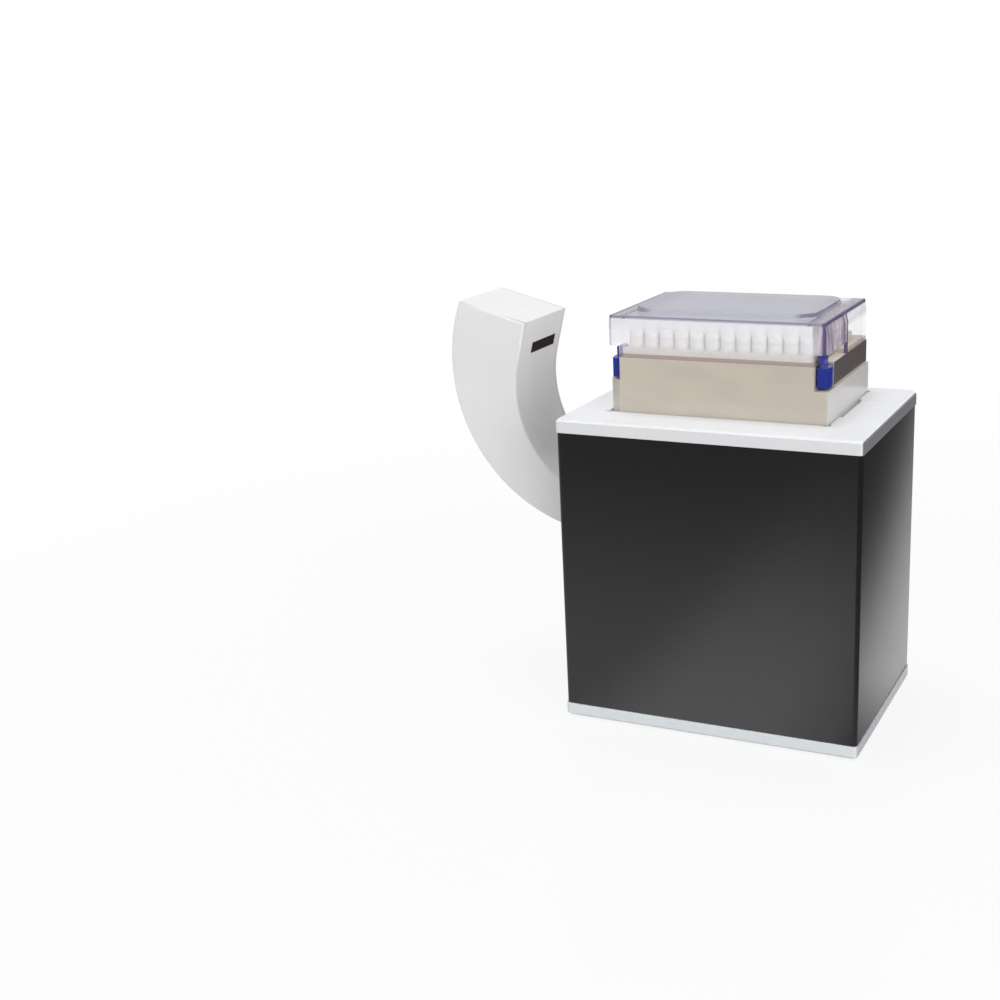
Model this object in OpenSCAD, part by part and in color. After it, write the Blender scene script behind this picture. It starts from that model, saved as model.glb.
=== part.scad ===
// Rack barcode reader: a tall desk box that photographs the codes under a rack of tubes
// through a glass in its top, with a curved arm on its left that scans the rack's end.
// A rack of 96 tubes with a clear lid stands in the nest.
// X runs to the right along the front, Y to the rear, Z up. The origin is the middle of
// the base plate's underside.

/* [Housing] */
// Width of the housing over the white plates
box_w = 175; // [172:1:200]
// Depth of the housing over the white plates
box_d = 124; // [122:1:150]
// Height of the white base plate
base_h = 7.5; // [7:0.5:12]
// Height of the black wrap
wrap_h = 164; // [150:1:190]
// Height of the white top plate
plate_h = 7.5; // [7:0.5:9]
// Wall of the black wrap
wrap_wall = 2; // [1.5:0.25:3]
// How far the white plates stand out past the wrap on each side
plate_lip = 0.5; // [0.25:0.25:1]
// Radius of the upright edges
corner_r = 2.5; // [2:0.5:4]
// Chamfer round the top plate and the base plate
plate_chamfer = 1.2; // [0.5:0.1:1.5]
// How far the rubber feet stand out below the base plate
foot_drop = 1; // [0.5:0.25:3]

/* [Nest and glass] */
// Place of the nest's middle, left or right of the housing's middle
nest_x = -3; // [-6:0.5:0]
// Place of the nest's middle, behind the housing's middle
nest_y = 8.75; // [6:0.25:9]
// Depth of the nest below the top
nest_depth = 2.5; // [2:0.25:3]
// Gap between the rack and each wall of the nest
nest_gap = 0.4; // [0.3:0.1:0.8]
// Border of the nest's floor left and right of the glass
border_x = 4.28; // [3.28:0.5:6.28]
// Border of the nest's floor in front of and behind the glass
border_y = 4.14; // [3.64:0.5:6.14]
// Thickness of the glass
glass_t = 3; // [2:0.25:3]
// Thickness of the gasket under the glass
gasket_t = 0.4; // [0.3:0.1:0.6]

/* [Rack] */
// Length of the rack's foot
rack_w = 127.76; // [127:0.02:128]
// Width of the rack's foot
rack_d = 85.48; // [85:0.02:86]
// Height of the rack's foot
skirt_h = 20.5; // [18:0.5:24]
// Height from the foot's ledge to the shoulder that carries the lid
upper_h = 13; // [12.5:0.5:16]
// Width of the ledge at each end of the rack's foot
ledge_w = 7.88; // [7.38:0.1:7.88]
// Height of the deck that holds the tubes
deck_h = 5; // [4:0.5:6]
// Wall of the rack's foot
skirt_wall = 1.8; // [1.4:0.1:2]
// Chamfer of the two left corners
key_chamfer = 7.5; // [4:0.5:7.5]
// Distance between tubes
pitch = 9; // [9:0.01:9.02]
// Diameter of a tube below the deck
tube_d = 7.4; // [6.8:0.1:7.5]
// Diameter of a tube's cap
cap_d = 8.6; // [8:0.1:8.7]
// Height of the tubes above the deck, caps included
tube_rise = 14; // [12:0.5:16]

/* [Lid and latches] */
// How far each end of the lid stands in from the end of the rack's foot
lid_in = 1.38; // [0.38:0.25:1.88]
// Height of the lid from the shoulder to its flat top
lid_h = 23.5; // [23:0.5:30]
// Wall of the lid
lid_wall = 1.5; // [1.2:0.1:1.6]
// Height of the raised field on the lid
plateau_h = 3; // [2:0.5:5]
// Gap between the lid and what it moves along
lid_gap = 0.3; // [0.3:0.05:0.4]
// Width of a latch
latch_w = 14; // [12:0.5:15]
// How far a latch stands out from the rack's end wall
latch_reach = 7; // [6.5:0.25:7.5]
// Diameter of a latch's pin
latch_pin_d = 1.6; // [1.2:0.1:2]
// Gap round the pin in the latch
pin_gap = 0.06; // [0.05:0.01:0.1]

/* [Arm] */
// How far the arm reaches out from the wrap
arm_reach = 88.5; // [84:0.5:95]
// Depth of the arm, front to rear
arm_d = 56; // [52:1:60]
// Radius of the arm's outer side
arm_outer_r = 99; // [96:0.5:104]
// Radius of the arm's hollow side
arm_inner_r = 65.5; // [62:0.5:68]
// Thickness of the arm at its widest
arm_thick = 42.5; // [40:0.5:46]
// Height of the arm where it meets the housing
arm_root_h = 21.5; // [18:0.5:26]
// Height of the hollow side's centre
arm_inner_z = 183.5; // [181:0.5:186]
// Lean of the window face and of the top
arm_tilt = 14.5; // [12:0.5:17]
// Length of the window face above the hollow
arm_face = 25; // [22:0.5:28]
// Wall of the arm's shell
arm_wall = 2.2; // [1.8:0.1:2.6]
// Thickness of the arm's rear cover
cover_t = 3; // [2.5:0.1:4]
// Width of the arm's window
slit_w = 32; // [28:1:34]
// Height of the arm's window
slit_h = 7; // [6:0.5:8]

/* [Inside] */
// Diameter of the camera's lens
lens_d = 26; // [22:1:30]
// Side of the camera's body
camera_w = 32; // [30:1:36]
// Height of the camera's body
camera_h = 40; // [34:1:46]
// Lamps in each row of a lamp board
lamps = 8; // [4:1:10]
// Lean of the lamp boards
lamp_tilt = 25; // [20:1:30]
// Thickness of the circuit boards
board_t = 1.6; // [1.2:0.2:2]

/* [Hidden] */
$fn = 48;

// A cut runs past the faces that it opens by this much.
past = 1;
// Heights of the housing
wrap_z = base_h;
plate_z = base_h + wrap_h;
top_z = plate_z + plate_h;
nest_z = top_z - nest_depth;
wrap_w = box_w - 2 * plate_lip;
wrap_d = box_d - 2 * plate_lip;
rear_step_h = 0.6;
rear_step_y = 29;
// Glass, its rabbet and the opening below it
glass_w = rack_w + 2 * nest_gap - 2 * border_x;
glass_d = rack_d + 2 * nest_gap - 2 * border_y;
glass_sink = 0.3;
glass_z = nest_z - glass_sink - glass_t;
glass_lip = 2;
// Finger notches on both sides of the nest
notch_l = 44;
notch_w = 2;
relief_r = 2.5;
// Posts and screws of the housing
post_r = 4.5;
post_inset = 5.5;
post_x = wrap_w / 2 - wrap_wall - post_inset;
post_y = wrap_d / 2 - wrap_wall - post_inset;
spigot_r = 2.5;
spigot_h = 3;
screw_r = 1.5;
screw_head_r = 3;
screw_head_h = 1.8;
screw_l = 16;
foot_r = 7;
foot_seat = 1.5;
foot_in = 20;
// Heights and sizes of the rack
upper_w = rack_w - 2 * ledge_w;
ledge_z = nest_z + skirt_h;
shoulder_z = ledge_z + upper_h;
deck_z = shoulder_z + deck_h;
end_wall = 2.6;
side_wall = 3;
deck_edge = lid_wall + lid_gap;
tube_foot = 1.8;
collar_d = cap_d - 0.2;
cap_h = 9;
bore_d = tube_d + 0.3;
web = 0.4;
row_edge = 5;
cols = floor((upper_w - 2 * (deck_edge + web) - bore_d) / pitch) + 1;
rows = floor((rack_d - 2 * (row_edge + web) - bore_d) / pitch) + 1;
grid_t = 2;
grid_up = 6;
// Lid
lid_w = rack_w - 2 * lid_in;
lid_top_z = shoulder_z + lid_h;
plateau_inset_x = 9;
plateau_inset_y = 11;
plateau_r = 12;
bay_l = 42;
bay_h = 6.6;
lid_r = 2.5;
lid_lean = 1.2;
lean_h = 6.5;
// Latches, which turn on pins along Y
latch_y = -rack_d / 2 + 10.5;
pad_z = ledge_z + 1;
pad_h = 11;
pad_gap = 0.6;
pin_x = upper_w / 2 + latch_reach - 3.2;
pin_z = ledge_z + 7;
latch_gap = 0.3;
cheek = 2;
pin_seat = 5;
pin_front_y = latch_y - latch_w / 2 + cheek + latch_gap;
// Front of the end blocks, which stand behind the latches and carry their pins
end_y = latch_y + latch_w / 2 + latch_gap;
shelf_t = 2.5;
hook_t = 1.6;
hook_top = deck_z + 0.4;
nose_h = 1.8;
nose_slot_w = 8;
// Arm
arm_root_x = -wrap_w / 2;
arm_y = nest_y;
arm_left_x = arm_root_x - arm_reach;
arm_outer_x = arm_left_x + arm_outer_r;
arm_inner_x = arm_left_x + arm_thick + arm_inner_r;
arm_crease_x = arm_inner_x - arm_inner_r * cos(arm_tilt);
arm_crease_z = arm_inner_z + arm_inner_r * sin(arm_tilt);
arm_front_y = arm_y - arm_d / 2;
arm_rear_y = arm_y + arm_d / 2;
slit_up = 6.5;
slit_shift = 4;
slit_t = 1.6;
root_top_z = arm_inner_z - sqrt(pow(arm_inner_r, 2) - pow(arm_inner_x - arm_root_x, 2));
root_bottom_z = root_top_z - arm_root_h;
arm_outer_z = root_bottom_z + sqrt(pow(arm_outer_r, 2) - pow(arm_outer_x - arm_root_x, 2));
clamp_w = 34;
clamp_h = 10;
clamp_t = 12;
clamp_gap = 1;
clamp_x = arm_root_x - arm_wall - clamp_t;
root_mid_z = arm_low(clamp_x) + arm_wall + clamp_gap + clamp_h / 2;
bolt_r = 2;
bolt_gap = 24;
grommet_r = 3;

function arm_low(x) = arm_outer_z - sqrt(pow(arm_outer_r, 2) - pow(arm_outer_x - x, 2));
function col_x(i) = (i - (cols - 1) / 2) * pitch;
function row_y(j) = (j - (rows - 1) / 2) * pitch;

// Rectangle with round corners, centred
module round_rect(w, d, r) {
    square([w - 2 * r, d], center = true);
    square([w, d - 2 * r], center = true);
    for (x = [-1, 1], y = [-1, 1])
        translate([x * (w / 2 - r), y * (d / 2 - r)]) circle(r);
}

// Block centred in X and Y that stands on its base
module block(w, d, h) {
    translate([-w / 2, -d / 2, 0]) cube([w, d, h]);
}

// Places its child at the four corners of a rectangle
module at_corners(x, y) {
    for (sx = [-1, 1], sy = [-1, 1]) translate([sx * x, sy * y, 0]) children();
}

// Plate whose upper or lower edge is chamfered all round
module chamfered_plate(w, d, h, r, c, top) {
    hull() {
        translate([0, 0, top ? 0 : c]) linear_extrude(h - c) round_rect(w, d, r, $fn = 32);
        linear_extrude(h) round_rect(w - 2 * c, d - 2 * c, r, $fn = 32);
    }
}

module housing_wrap() {
    slot_n = 9;
    slot_gap = 7;
    slot_l = 26;
    slot_w = 2.4;
    color("#1d1d20") difference() {
        translate([0, 0, wrap_z]) linear_extrude(wrap_h) difference() {
            round_rect(wrap_w, wrap_d, corner_r);
            round_rect(wrap_w - 2 * wrap_wall, wrap_d - 2 * wrap_wall, corner_r - wrap_wall / 2);
        }
        // sockets in the rear wall
        translate([usb_x, wrap_d / 2 - past - wrap_wall, socket_z])
            socket_hole(usb_w, usb_h);
        translate([power_x, wrap_d / 2 - past - wrap_wall, socket_z])
            socket_hole(power_w, power_h);
        // cooling slots in the rear wall
        for (i = [0 : slot_n - 1])
            translate([(i - (slot_n - 1) / 2) * slot_gap, wrap_d / 2 - wrap_wall - past, vent_z])
                translate([-slot_w / 2, 0, 0]) cube([slot_w, wrap_wall + 2 * past, slot_l]);
        // bolts and lead of the arm in the left wall
        for (y = [-1, 1]) translate([arm_root_x - past, arm_y + y * bolt_gap / 2, root_mid_z])
            rotate([0, 90, 0]) cylinder(r = bolt_r, h = wrap_wall + 2 * past);
        translate([arm_root_x - past, arm_y, root_mid_z])
            rotate([0, 90, 0]) cylinder(r = grommet_r, h = wrap_wall + 2 * past);
    }
}

module socket_hole(w, h) {
    translate([-w / 2, 0, 0]) cube([w, wrap_wall + 2 * past, h]);
}

module top_plate() {
    nest_w = rack_w + 2 * nest_gap;
    nest_d = rack_d + 2 * nest_gap;
    color("#f2f3f4") difference() {
        union() {
            translate([0, 0, plate_z])
                chamfered_plate(box_w, box_d, plate_h, corner_r, plate_chamfer, true);
            // the rear of the plate stands a little higher
            translate([0, (rear_step_y + box_d / 2 - plate_chamfer) / 2, top_z])
                block(box_w - 2 * plate_chamfer - corner_r,
                    box_d / 2 - plate_chamfer - rear_step_y, rear_step_h);
        }
        translate([nest_x, nest_y, 0]) {
            translate([0, 0, nest_z]) {
                block(nest_w, nest_d, nest_depth + past);
                block(nest_w + 2 * notch_w, notch_l, nest_depth + past);
                at_corners(nest_w / 2 - relief_r / 2, nest_d / 2 - relief_r / 2)
                    cylinder(r = relief_r, h = nest_depth + past);
            }
            translate([0, 0, glass_z - gasket_t]) block(glass_w, glass_d, plate_h);
            translate([0, 0, plate_z - past])
                block(glass_w - 2 * glass_lip, glass_d - 2 * glass_lip, plate_h);
        }
        // blind seats of the posts
        at_corners(post_x, post_y)
            translate([0, 0, plate_z - past]) cylinder(r = spigot_r, h = spigot_h + past);
    }
}

module base_plate() {
    slot_n = 7;
    slot_gap = 9;
    slot_w = 3;
    slot_l = 24;
    color("#e6e8ea") difference() {
        chamfered_plate(box_w, box_d, base_h, corner_r, plate_chamfer, false);
        at_corners(box_w / 2 - foot_in, box_d / 2 - foot_in)
            translate([0, 0, -past]) cylinder(r = foot_r, h = foot_seat + past);
        at_corners(post_x, post_y) {
            translate([0, 0, -past]) cylinder(r = screw_r, h = base_h + 2 * past);
            translate([0, 0, -past]) cylinder(r = screw_head_r, h = screw_head_h + past);
        }
        // cooling slots
        for (i = [0 : slot_n - 1])
            translate([(i - (slot_n - 1) / 2) * slot_gap, -box_d / 4, -past])
                block(slot_w, slot_l, base_h + 2 * past);
    }
}

module rubber_feet() {
    color("#2a2a2c") at_corners(box_w / 2 - foot_in, box_d / 2 - foot_in)
        translate([0, 0, -foot_drop]) cylinder(r = foot_r, h = foot_drop + foot_seat);
}

// Screw along +Z with its head at the bottom and a cross-shaped recess in the head
module screw(r, l, head_r, head_h) {
    recess = head_r * 1.2;
    difference() {
        union() {
            cylinder(r = head_r, h = head_h);
            cylinder(r = r, h = l);
        }
        translate([0, 0, -past]) {
            block(recess, recess / 4, head_h / 2 + past);
            block(recess / 4, recess, head_h / 2 + past);
        }
    }
}

module base_screws() {
    color("silver") at_corners(post_x, post_y) screw(screw_r, screw_l, screw_head_r, screw_head_h);
}

module corner_posts() {
    bore_h = screw_l - base_h + 2;
    color("#b9bcc0") at_corners(post_x, post_y) difference() {
        translate([0, 0, wrap_z]) {
            cylinder(r = post_r, h = wrap_h);
            cylinder(r = spigot_r, h = wrap_h + spigot_h);
        }
        translate([0, 0, wrap_z - past]) cylinder(r = screw_r, h = bore_h + past);
    }
}

module scan_glass() {
    color("#cfe3e6", 0.35) translate([nest_x, nest_y, glass_z]) block(glass_w, glass_d, glass_t);
}

module glass_gasket() {
    color("#202022") translate([nest_x, nest_y, glass_z - gasket_t]) difference() {
        block(glass_w, glass_d, gasket_t);
        translate([0, 0, -past])
            block(glass_w - 2 * glass_lip, glass_d - 2 * glass_lip, gasket_t + 2 * past);
    }
}

// Camera that looks up at the glass, on a folded stand
stand_t = 2;
stand_h = 12;
stand_w = 44;
stand_d = camera_w + 8;
stand_foot = 11;
camera_grip = 5;
small_head_r = 2.6;
camera_z = base_h + stand_h;
lens_z = camera_z + camera_h;

module camera_body() {
    fins = 5;
    fin_gap = 5;
    fin_cut = 1.5;
    color("#3a3c40") translate([nest_x, nest_y, camera_z]) difference() {
        linear_extrude(camera_h) round_rect(camera_w, camera_w, 2);
        for (i = [0 : fins - 1]) translate([0, 0, 8 + i * fin_gap]) difference() {
            block(camera_w + 2 * past, camera_w + 2 * past, fin_gap / 2);
            block(camera_w - 2 * fin_cut, camera_w - 2 * fin_cut, fin_gap / 2);
        }
        for (x = [-1, 1]) translate([x * camera_w / 4, 0, -past]) cylinder(r = screw_r, h = camera_grip + 2 * past);
    }
}

// Lens barrel with two grip rings, a bore, and a seat for the front lens
lens_l = 24;
lens_seat = 14;
lens_front_r = 8;
lens_front_t = 3;
lens_bore_r = 5;
rib = 2;

module camera_lens() {
    r = lens_d / 2;
    color("#16161a") translate([nest_x, nest_y, lens_z]) rotate_extrude() polygon([
        [lens_bore_r, 0], [r - rib, 0], [r - rib, 1.5 * rib], [r, 1.5 * rib],
        [r, 5.5 * rib], [r - 0.75 * rib, 5.5 * rib], [r - 0.75 * rib, 6.5 * rib],
        [r, 6.5 * rib], [r, lens_l], [r - rib, lens_l], [r - 2 * rib, lens_l - 2.5 * rib],
        [lens_front_r, lens_seat + lens_front_t], [lens_front_r, lens_seat],
        [lens_bore_r, lens_seat]]);
}

module lens_front() {
    color("#8fa6c8", 0.5) translate([nest_x, nest_y, lens_z + lens_seat])
        cylinder(r = lens_front_r, h = lens_front_t);
}

module camera_stand() {
    color("#9a9da2") translate([nest_x, nest_y, base_h]) difference() {
        union() {
            translate([0, 0, stand_h - stand_t]) block(stand_w, stand_d, stand_t);
            for (x = [-1, 1]) {
                translate([x * (stand_w - stand_t) / 2, 0, 0])
                    block(stand_t, stand_d, stand_h);
                translate([x * (stand_w + stand_foot - stand_t) / 2, 0, 0])
                    block(stand_foot + stand_t, stand_d, stand_t);
            }
        }
        for (x = [-1, 1]) {
            translate([x * camera_w / 4, 0, 0]) cylinder(r = screw_r, h = stand_h + past);
            for (y = [-1, 1]) translate([x * (stand_w + stand_foot) / 2, y * 0.3 * stand_d, -past])
                cylinder(r = screw_r, h = stand_t + 2 * past);
        }
    }
}

module camera_screws() {
    color("silver") translate([nest_x, nest_y, 0]) {
        for (x = [-1, 1]) translate([x * camera_w / 4, 0, camera_z - stand_t - screw_head_h])
            screw(screw_r, screw_head_h + stand_t + camera_grip, small_head_r, screw_head_h);
        for (x = [-1, 1], y = [-1, 1])
            translate([x * (stand_w + stand_foot) / 2, y * 0.3 * stand_d,
                base_h + stand_t + screw_head_h])
                mirror([0, 0, 1])
                    screw(screw_r, screw_head_h + stand_t, small_head_r, screw_head_h);
    }
}

// Lamp boards on both sides, leaning in under the glass
lamp_board_w = 16;
lamp_end_gap = 1.75;
lamp_board_l = 2 * (post_y - post_r - lamp_end_gap - nest_y);
lamp_z = 118;
lamp_x = wrap_w / 2 - wrap_wall - 14;
led_w = 3.5;
led_h = 1.2;
diffuser_t = 1.5;
diffuser_gap = 5;
bracket_t = 1.5;
bracket_in = 9;
bracket_w = 6;
bracket_l = 28;
bracket_shift = 6;
bracket_reach = 18;
bracket_rise = 30;

// Puts its child in the frame of the lamp board on one side: board underside at z = 0
module at_lamps(side) {
    translate([side * lamp_x, nest_y, lamp_z]) rotate([0, -side * lamp_tilt, 0]) children();
}

module lamp_board_left() {
    color("#1f5f3c") at_lamps(-1) block(lamp_board_w, lamp_board_l, board_t);
}

module lamp_board_right() {
    color("#1f5f3c") at_lamps(1) block(lamp_board_w, lamp_board_l, board_t);
}

module lamp_leds() {
    led_row_l = lamp_board_l - 10;
    color("#f4e9a8") for (side = [-1, 1]) at_lamps(side)
        for (i = [0 : lamps - 1], k = [-1, 1])
            translate([k * lamp_board_w / 4, (i - (lamps - 1) / 2) * led_row_l / lamps, board_t])
                block(led_w, led_w, led_h);
}

module lamp_diffuser_left() {
    color("#eef0ee", 0.7) at_lamps(-1) lamp_diffuser();
}

module lamp_diffuser_right() {
    color("#eef0ee", 0.7) at_lamps(1) lamp_diffuser();
}

// Opal cover over one lamp board, on a foot at each end
module lamp_diffuser() {
    foot = diffuser_gap;
    translate([0, 0, board_t]) {
        translate([0, 0, foot]) block(lamp_board_w, lamp_board_l, diffuser_t);
        for (y = [-1, 1]) translate([0, y * (lamp_board_l - diffuser_t) / 2, 0])
            block(lamp_board_w, diffuser_t, foot);
    }
}

// Two bent brackets hold the lamp boards on the side walls
module lamp_brackets() {
    wall_x = wrap_w / 2 - wrap_wall;
    arm_in_y = lamp_board_l / 2 - bracket_in;
    color("#9a9da2") for (side = [-1, 1]) {
        at_lamps(side) translate([0, 0, -bracket_t])
            block(lamp_board_w, lamp_board_l, bracket_t);
        intersection() {
            at_lamps(side) for (y = [-1, 1])
                translate([side * bracket_shift, y * arm_in_y, -bracket_t - bracket_reach])
                    block(bracket_l, bracket_w, bracket_reach);
            translate([side * (wall_x - bracket_reach / 2), nest_y, lamp_z - bracket_rise])
                block(bracket_reach, lamp_board_l, 2 * bracket_rise);
        }
    }
}

// Main board on the floor at the right rear, with its sockets in the rear wall
board_gap = 2;
board_right_x = post_x - post_r - board_gap;
board_left_x = nest_x + stand_w / 2 + stand_foot + 2.5 * board_gap;
board_w = board_right_x - board_left_x;
board_l = 96;
board_x = (board_right_x + board_left_x) / 2;
spacer_h = 6;
board_z = base_h + spacer_h;
board_rear_y = wrap_d / 2 - wrap_wall - 2;
board_y = board_rear_y - board_l / 2;
socket_z = board_z + board_t;
usb_w = 12;
usb_h = 11;
usb_in = 28;
usb_x = board_right_x - usb_in;
power_w = 9.5;
power_h = 11;
power_in = 9;
power_x = board_right_x - power_in;
socket_l = 16;
vent_z = 120;
board_hole_side = 4;
board_hole_in = 17;
board_hole_x = board_w / 2 - board_hole_side;
board_hole_y = board_l / 2 - board_hole_in;

module main_board() {
    color("#1f5f3c") translate([board_x, board_y, board_z]) difference() {
        block(board_w, board_l, board_t);
        at_corners(board_hole_x, board_hole_y)
            translate([0, 0, -past]) cylinder(r = screw_r, h = board_t + 2 * past);
    }
}

// Chips on the main board: a large square one in the middle, a long one before it, a
// small one behind it, and a row of round cans at the front edge
chip_w = 16;
chip_t = 1.6;
cans = 3;
can_gap = (board_w - board_gap) / cans;
can_r = 3;
can_h = 7;
can_in = 7;
can_y = can_in - board_l / 2;

module board_chips() {
    color("#26272a") translate([board_x, board_y, board_z + board_t]) {
        block(chip_w, chip_w, chip_t);
        translate([0, -1.15 * chip_w, 0]) block(0.75 * chip_w, chip_w, chip_t);
        translate([-0.3 * board_w, 1.4 * chip_w, 0]) block(chip_w / 2, chip_w / 2, chip_t);
        for (i = [0 : cans - 1]) translate([(i - (cans - 1) / 2) * can_gap, can_y, 0])
            cylinder(r = can_r, h = can_h);
    }
}

module board_spacers() {
    color("#c8a24a") translate([board_x, board_y, base_h]) at_corners(board_hole_x, board_hole_y)
        difference() {
            cylinder(r = 3, h = spacer_h, $fn = 6);
            translate([0, 0, 1]) cylinder(r = screw_r, h = spacer_h);
        }
}

module board_screws() {
    color("silver") translate([board_x, board_y, socket_z + screw_head_h])
        at_corners(board_hole_x, board_hole_y)
            mirror([0, 0, 1])
                screw(screw_r, screw_head_h + board_t + spacer_h / 2, small_head_r, screw_head_h);
}

// Square data socket: a can with its tongue inside, open to the rear
module usb_socket() {
    can = 0.8;
    color("#c9ccd0") translate([usb_x, wrap_d / 2 - socket_l, socket_z]) {
        difference() {
            translate([-usb_w / 2, 0, 0]) cube([usb_w, socket_l, usb_h]);
            translate([-usb_w / 2 + 1.8, 6, 1.4]) difference() {
                cube([usb_w - 3.6, socket_l, usb_h - 3]);
                for (x = [0, usb_w - 3.6]) translate([x, 0, usb_h - 3])
                    rotate([0, 45, 0]) cube([2 * can, 3 * socket_l, 2 * can], center = true);
            }
        }
        translate([-2.8, 5, usb_h / 2 - 1.6]) cube([5.6, socket_l - 6.5, 3.2]);
    }
}

module power_socket() {
    color("#232326") translate([power_x, wrap_d / 2 - socket_l, socket_z]) {
        difference() {
            translate([-power_w / 2, 0, 0]) cube([power_w, socket_l, power_h]);
            translate([0, 5, power_h / 2]) rotate([-90, 0, 0]) cylinder(r = 3.2, h = socket_l);
        }
        translate([0, 4, power_h / 2]) rotate([-90, 0, 0]) cylinder(r = 1, h = socket_l - 5);
    }
}

// Outline of the arm in the XZ plane, drawn in by the given amount on every side:
// a large round outside, a smaller round hollow, and a straight window face and top
// that lean together
module arm_outline(inset) {
    far = 2 * arm_outer_r;
    difference() {
        translate([arm_outer_x, arm_outer_z]) circle(arm_outer_r - inset, $fn = 128);
        translate([arm_inner_x, arm_inner_z]) circle(arm_inner_r + inset, $fn = 128);
        translate([arm_crease_x, arm_crease_z]) rotate(-arm_tilt) {
            translate([-inset, 0]) square([far, far]);
            translate([-far, arm_face - inset]) square([2 * far, far]);
        }
        translate([arm_root_x - inset, 0]) square([far, 2 * far]);
    }
}

// Stands the XZ outline up between two places along Y
module arm_slab(y_from, y_to, inset) {
    translate([0, y_to, 0]) rotate([90, 0, 0]) linear_extrude(y_to - y_from) arm_outline(inset);
}

// Puts its child on the window face: X out of the face, Z up along it, at the window's middle
module at_window() {
    translate([arm_crease_x, arm_y + slit_shift, arm_crease_z]) rotate([0, arm_tilt, 0])
        translate([0, 0, slit_up]) children();
}

// Screw bosses of the arm, half sunk into its outer wall, as [x, z]
boss_r = 3;
boss_turn = [8, -28, -58];
cover_screw_r = 1.2;
cover_grip = 8;
boss_out = arm_outer_r - arm_wall / 2 - boss_r;
function boss_at(a) = [arm_outer_x - boss_out * cos(a), arm_outer_z + boss_out * sin(a)];

module arm_shell() {
    color("#eceeed") difference() {
        union() {
            difference() {
                arm_slab(arm_front_y, arm_rear_y - cover_t, 0);
                arm_slab(arm_front_y + arm_wall, arm_rear_y, arm_wall);
            }
            for (a = boss_turn) translate([boss_at(a)[0], arm_rear_y - cover_t, boss_at(a)[1]])
                rotate([90, 0, 0]) cylinder(r = boss_r, h = arm_d - cover_t - arm_wall / 2);
        }
        for (a = boss_turn) translate([boss_at(a)[0], arm_rear_y - cover_t + past, boss_at(a)[1]])
            rotate([90, 0, 0]) cylinder(r = cover_screw_r, h = 1.5 * cover_grip + past);
        at_window() translate([0, 0, -slit_h / 2])
            block(3 * arm_wall, slit_w, slit_h);
        for (y = [-1, 1]) translate([arm_root_x - 2 * arm_wall, arm_y + y * bolt_gap / 2, root_mid_z])
            rotate([0, 90, 0]) cylinder(r = bolt_r, h = 3 * arm_wall);
        translate([arm_root_x - 2 * arm_wall, arm_y, root_mid_z])
            rotate([0, 90, 0]) cylinder(r = grommet_r, h = 3 * arm_wall);
    }
}

module arm_cover() {
    lip = 2;
    fit = 0.2;
    color("#e4e6e5") difference() {
        union() {
            arm_slab(arm_rear_y - cover_t, arm_rear_y, 0);
            difference() {
                arm_slab(arm_rear_y - cover_t - lip, arm_rear_y - cover_t, arm_wall + fit);
                arm_slab(arm_rear_y - cover_t - lip - past, arm_rear_y - cover_t, 2 * arm_wall);
                for (a = boss_turn)
                    translate([boss_at(a)[0], arm_rear_y - cover_t, boss_at(a)[1]])
                        rotate([90, 0, 0]) cylinder(r = boss_r + fit, h = lip + past);
            }
        }
        for (a = boss_turn) translate([boss_at(a)[0], arm_rear_y + past, boss_at(a)[1]])
            rotate([90, 0, 0]) {
                cylinder(r = cover_screw_r, h = cover_t + 2 * past);
                cylinder(r = cover_head_r, h = cover_head_h + past);
            }
    }
}

cover_head_r = 2.4;
cover_head_h = 1.6;

module arm_cover_screws() {
    color("silver") for (a = boss_turn) translate([boss_at(a)[0], arm_rear_y, boss_at(a)[1]])
        rotate([90, 0, 0]) screw(cover_screw_r, cover_t + cover_grip, cover_head_r, cover_head_h);
}

// Dark red window, set in the slit from inside, with a rim behind the shell's wall
module arm_window() {
    sink = 0.4;
    rim = 2;
    color("#3a1418") at_window() {
        translate([-(sink + arm_wall) / 2, 0, -slit_h / 2])
            block(arm_wall - sink, slit_w, slit_h);
        translate([-arm_wall - slit_t / 2, 0, -slit_h / 2 - rim])
            block(slit_t, slit_w + 2 * rim, slit_h + 2 * rim);
    }
}

// Steel block inside the arm's root that the bolts pull against the housing
module arm_clamp() {
    color("#8c9096") difference() {
        translate([clamp_x, arm_y - clamp_w / 2, root_mid_z - clamp_h / 2])
            cube([clamp_t, clamp_w, clamp_h]);
        for (y = [-1, 1])
            translate([clamp_x - past, arm_y + y * bolt_gap / 2, root_mid_z])
                rotate([0, 90, 0]) cylinder(r = bolt_r, h = clamp_t + 2 * past);
        translate([clamp_x - past, arm_y, root_mid_z])
            rotate([0, 90, 0]) cylinder(r = grommet_r, h = clamp_t + 2 * past);
    }
}

bolt_head_r = 3.5;
bolt_head_h = 3;

module arm_bolts() {
    inner_x = arm_root_x + wrap_wall + bolt_head_h;
    color("#6d7076") for (y = [-1, 1])
        translate([inner_x, arm_y + y * bolt_gap / 2, root_mid_z]) rotate([0, -90, 0])
            screw(bolt_r, bolt_head_h + wrap_wall + arm_wall + clamp_t, bolt_head_r, bolt_head_h);
}

module arm_grommet() {
    flange = 1.5;
    inner_x = arm_root_x + wrap_wall;
    color("#232326") difference() {
        union() {
            translate([arm_root_x - arm_wall, arm_y, root_mid_z]) rotate([0, 90, 0])
                cylinder(r = grommet_r, h = arm_wall + wrap_wall + flange);
            translate([inner_x, arm_y, root_mid_z]) rotate([0, 90, 0])
                cylinder(r = grommet_r + 2, h = flange);
        }
        translate([arm_root_x - arm_wall - past, arm_y, root_mid_z]) rotate([0, 90, 0])
            cylinder(r = grommet_r - 1.2, h = arm_wall + wrap_wall + flange + 2 * past);
    }
}

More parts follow.
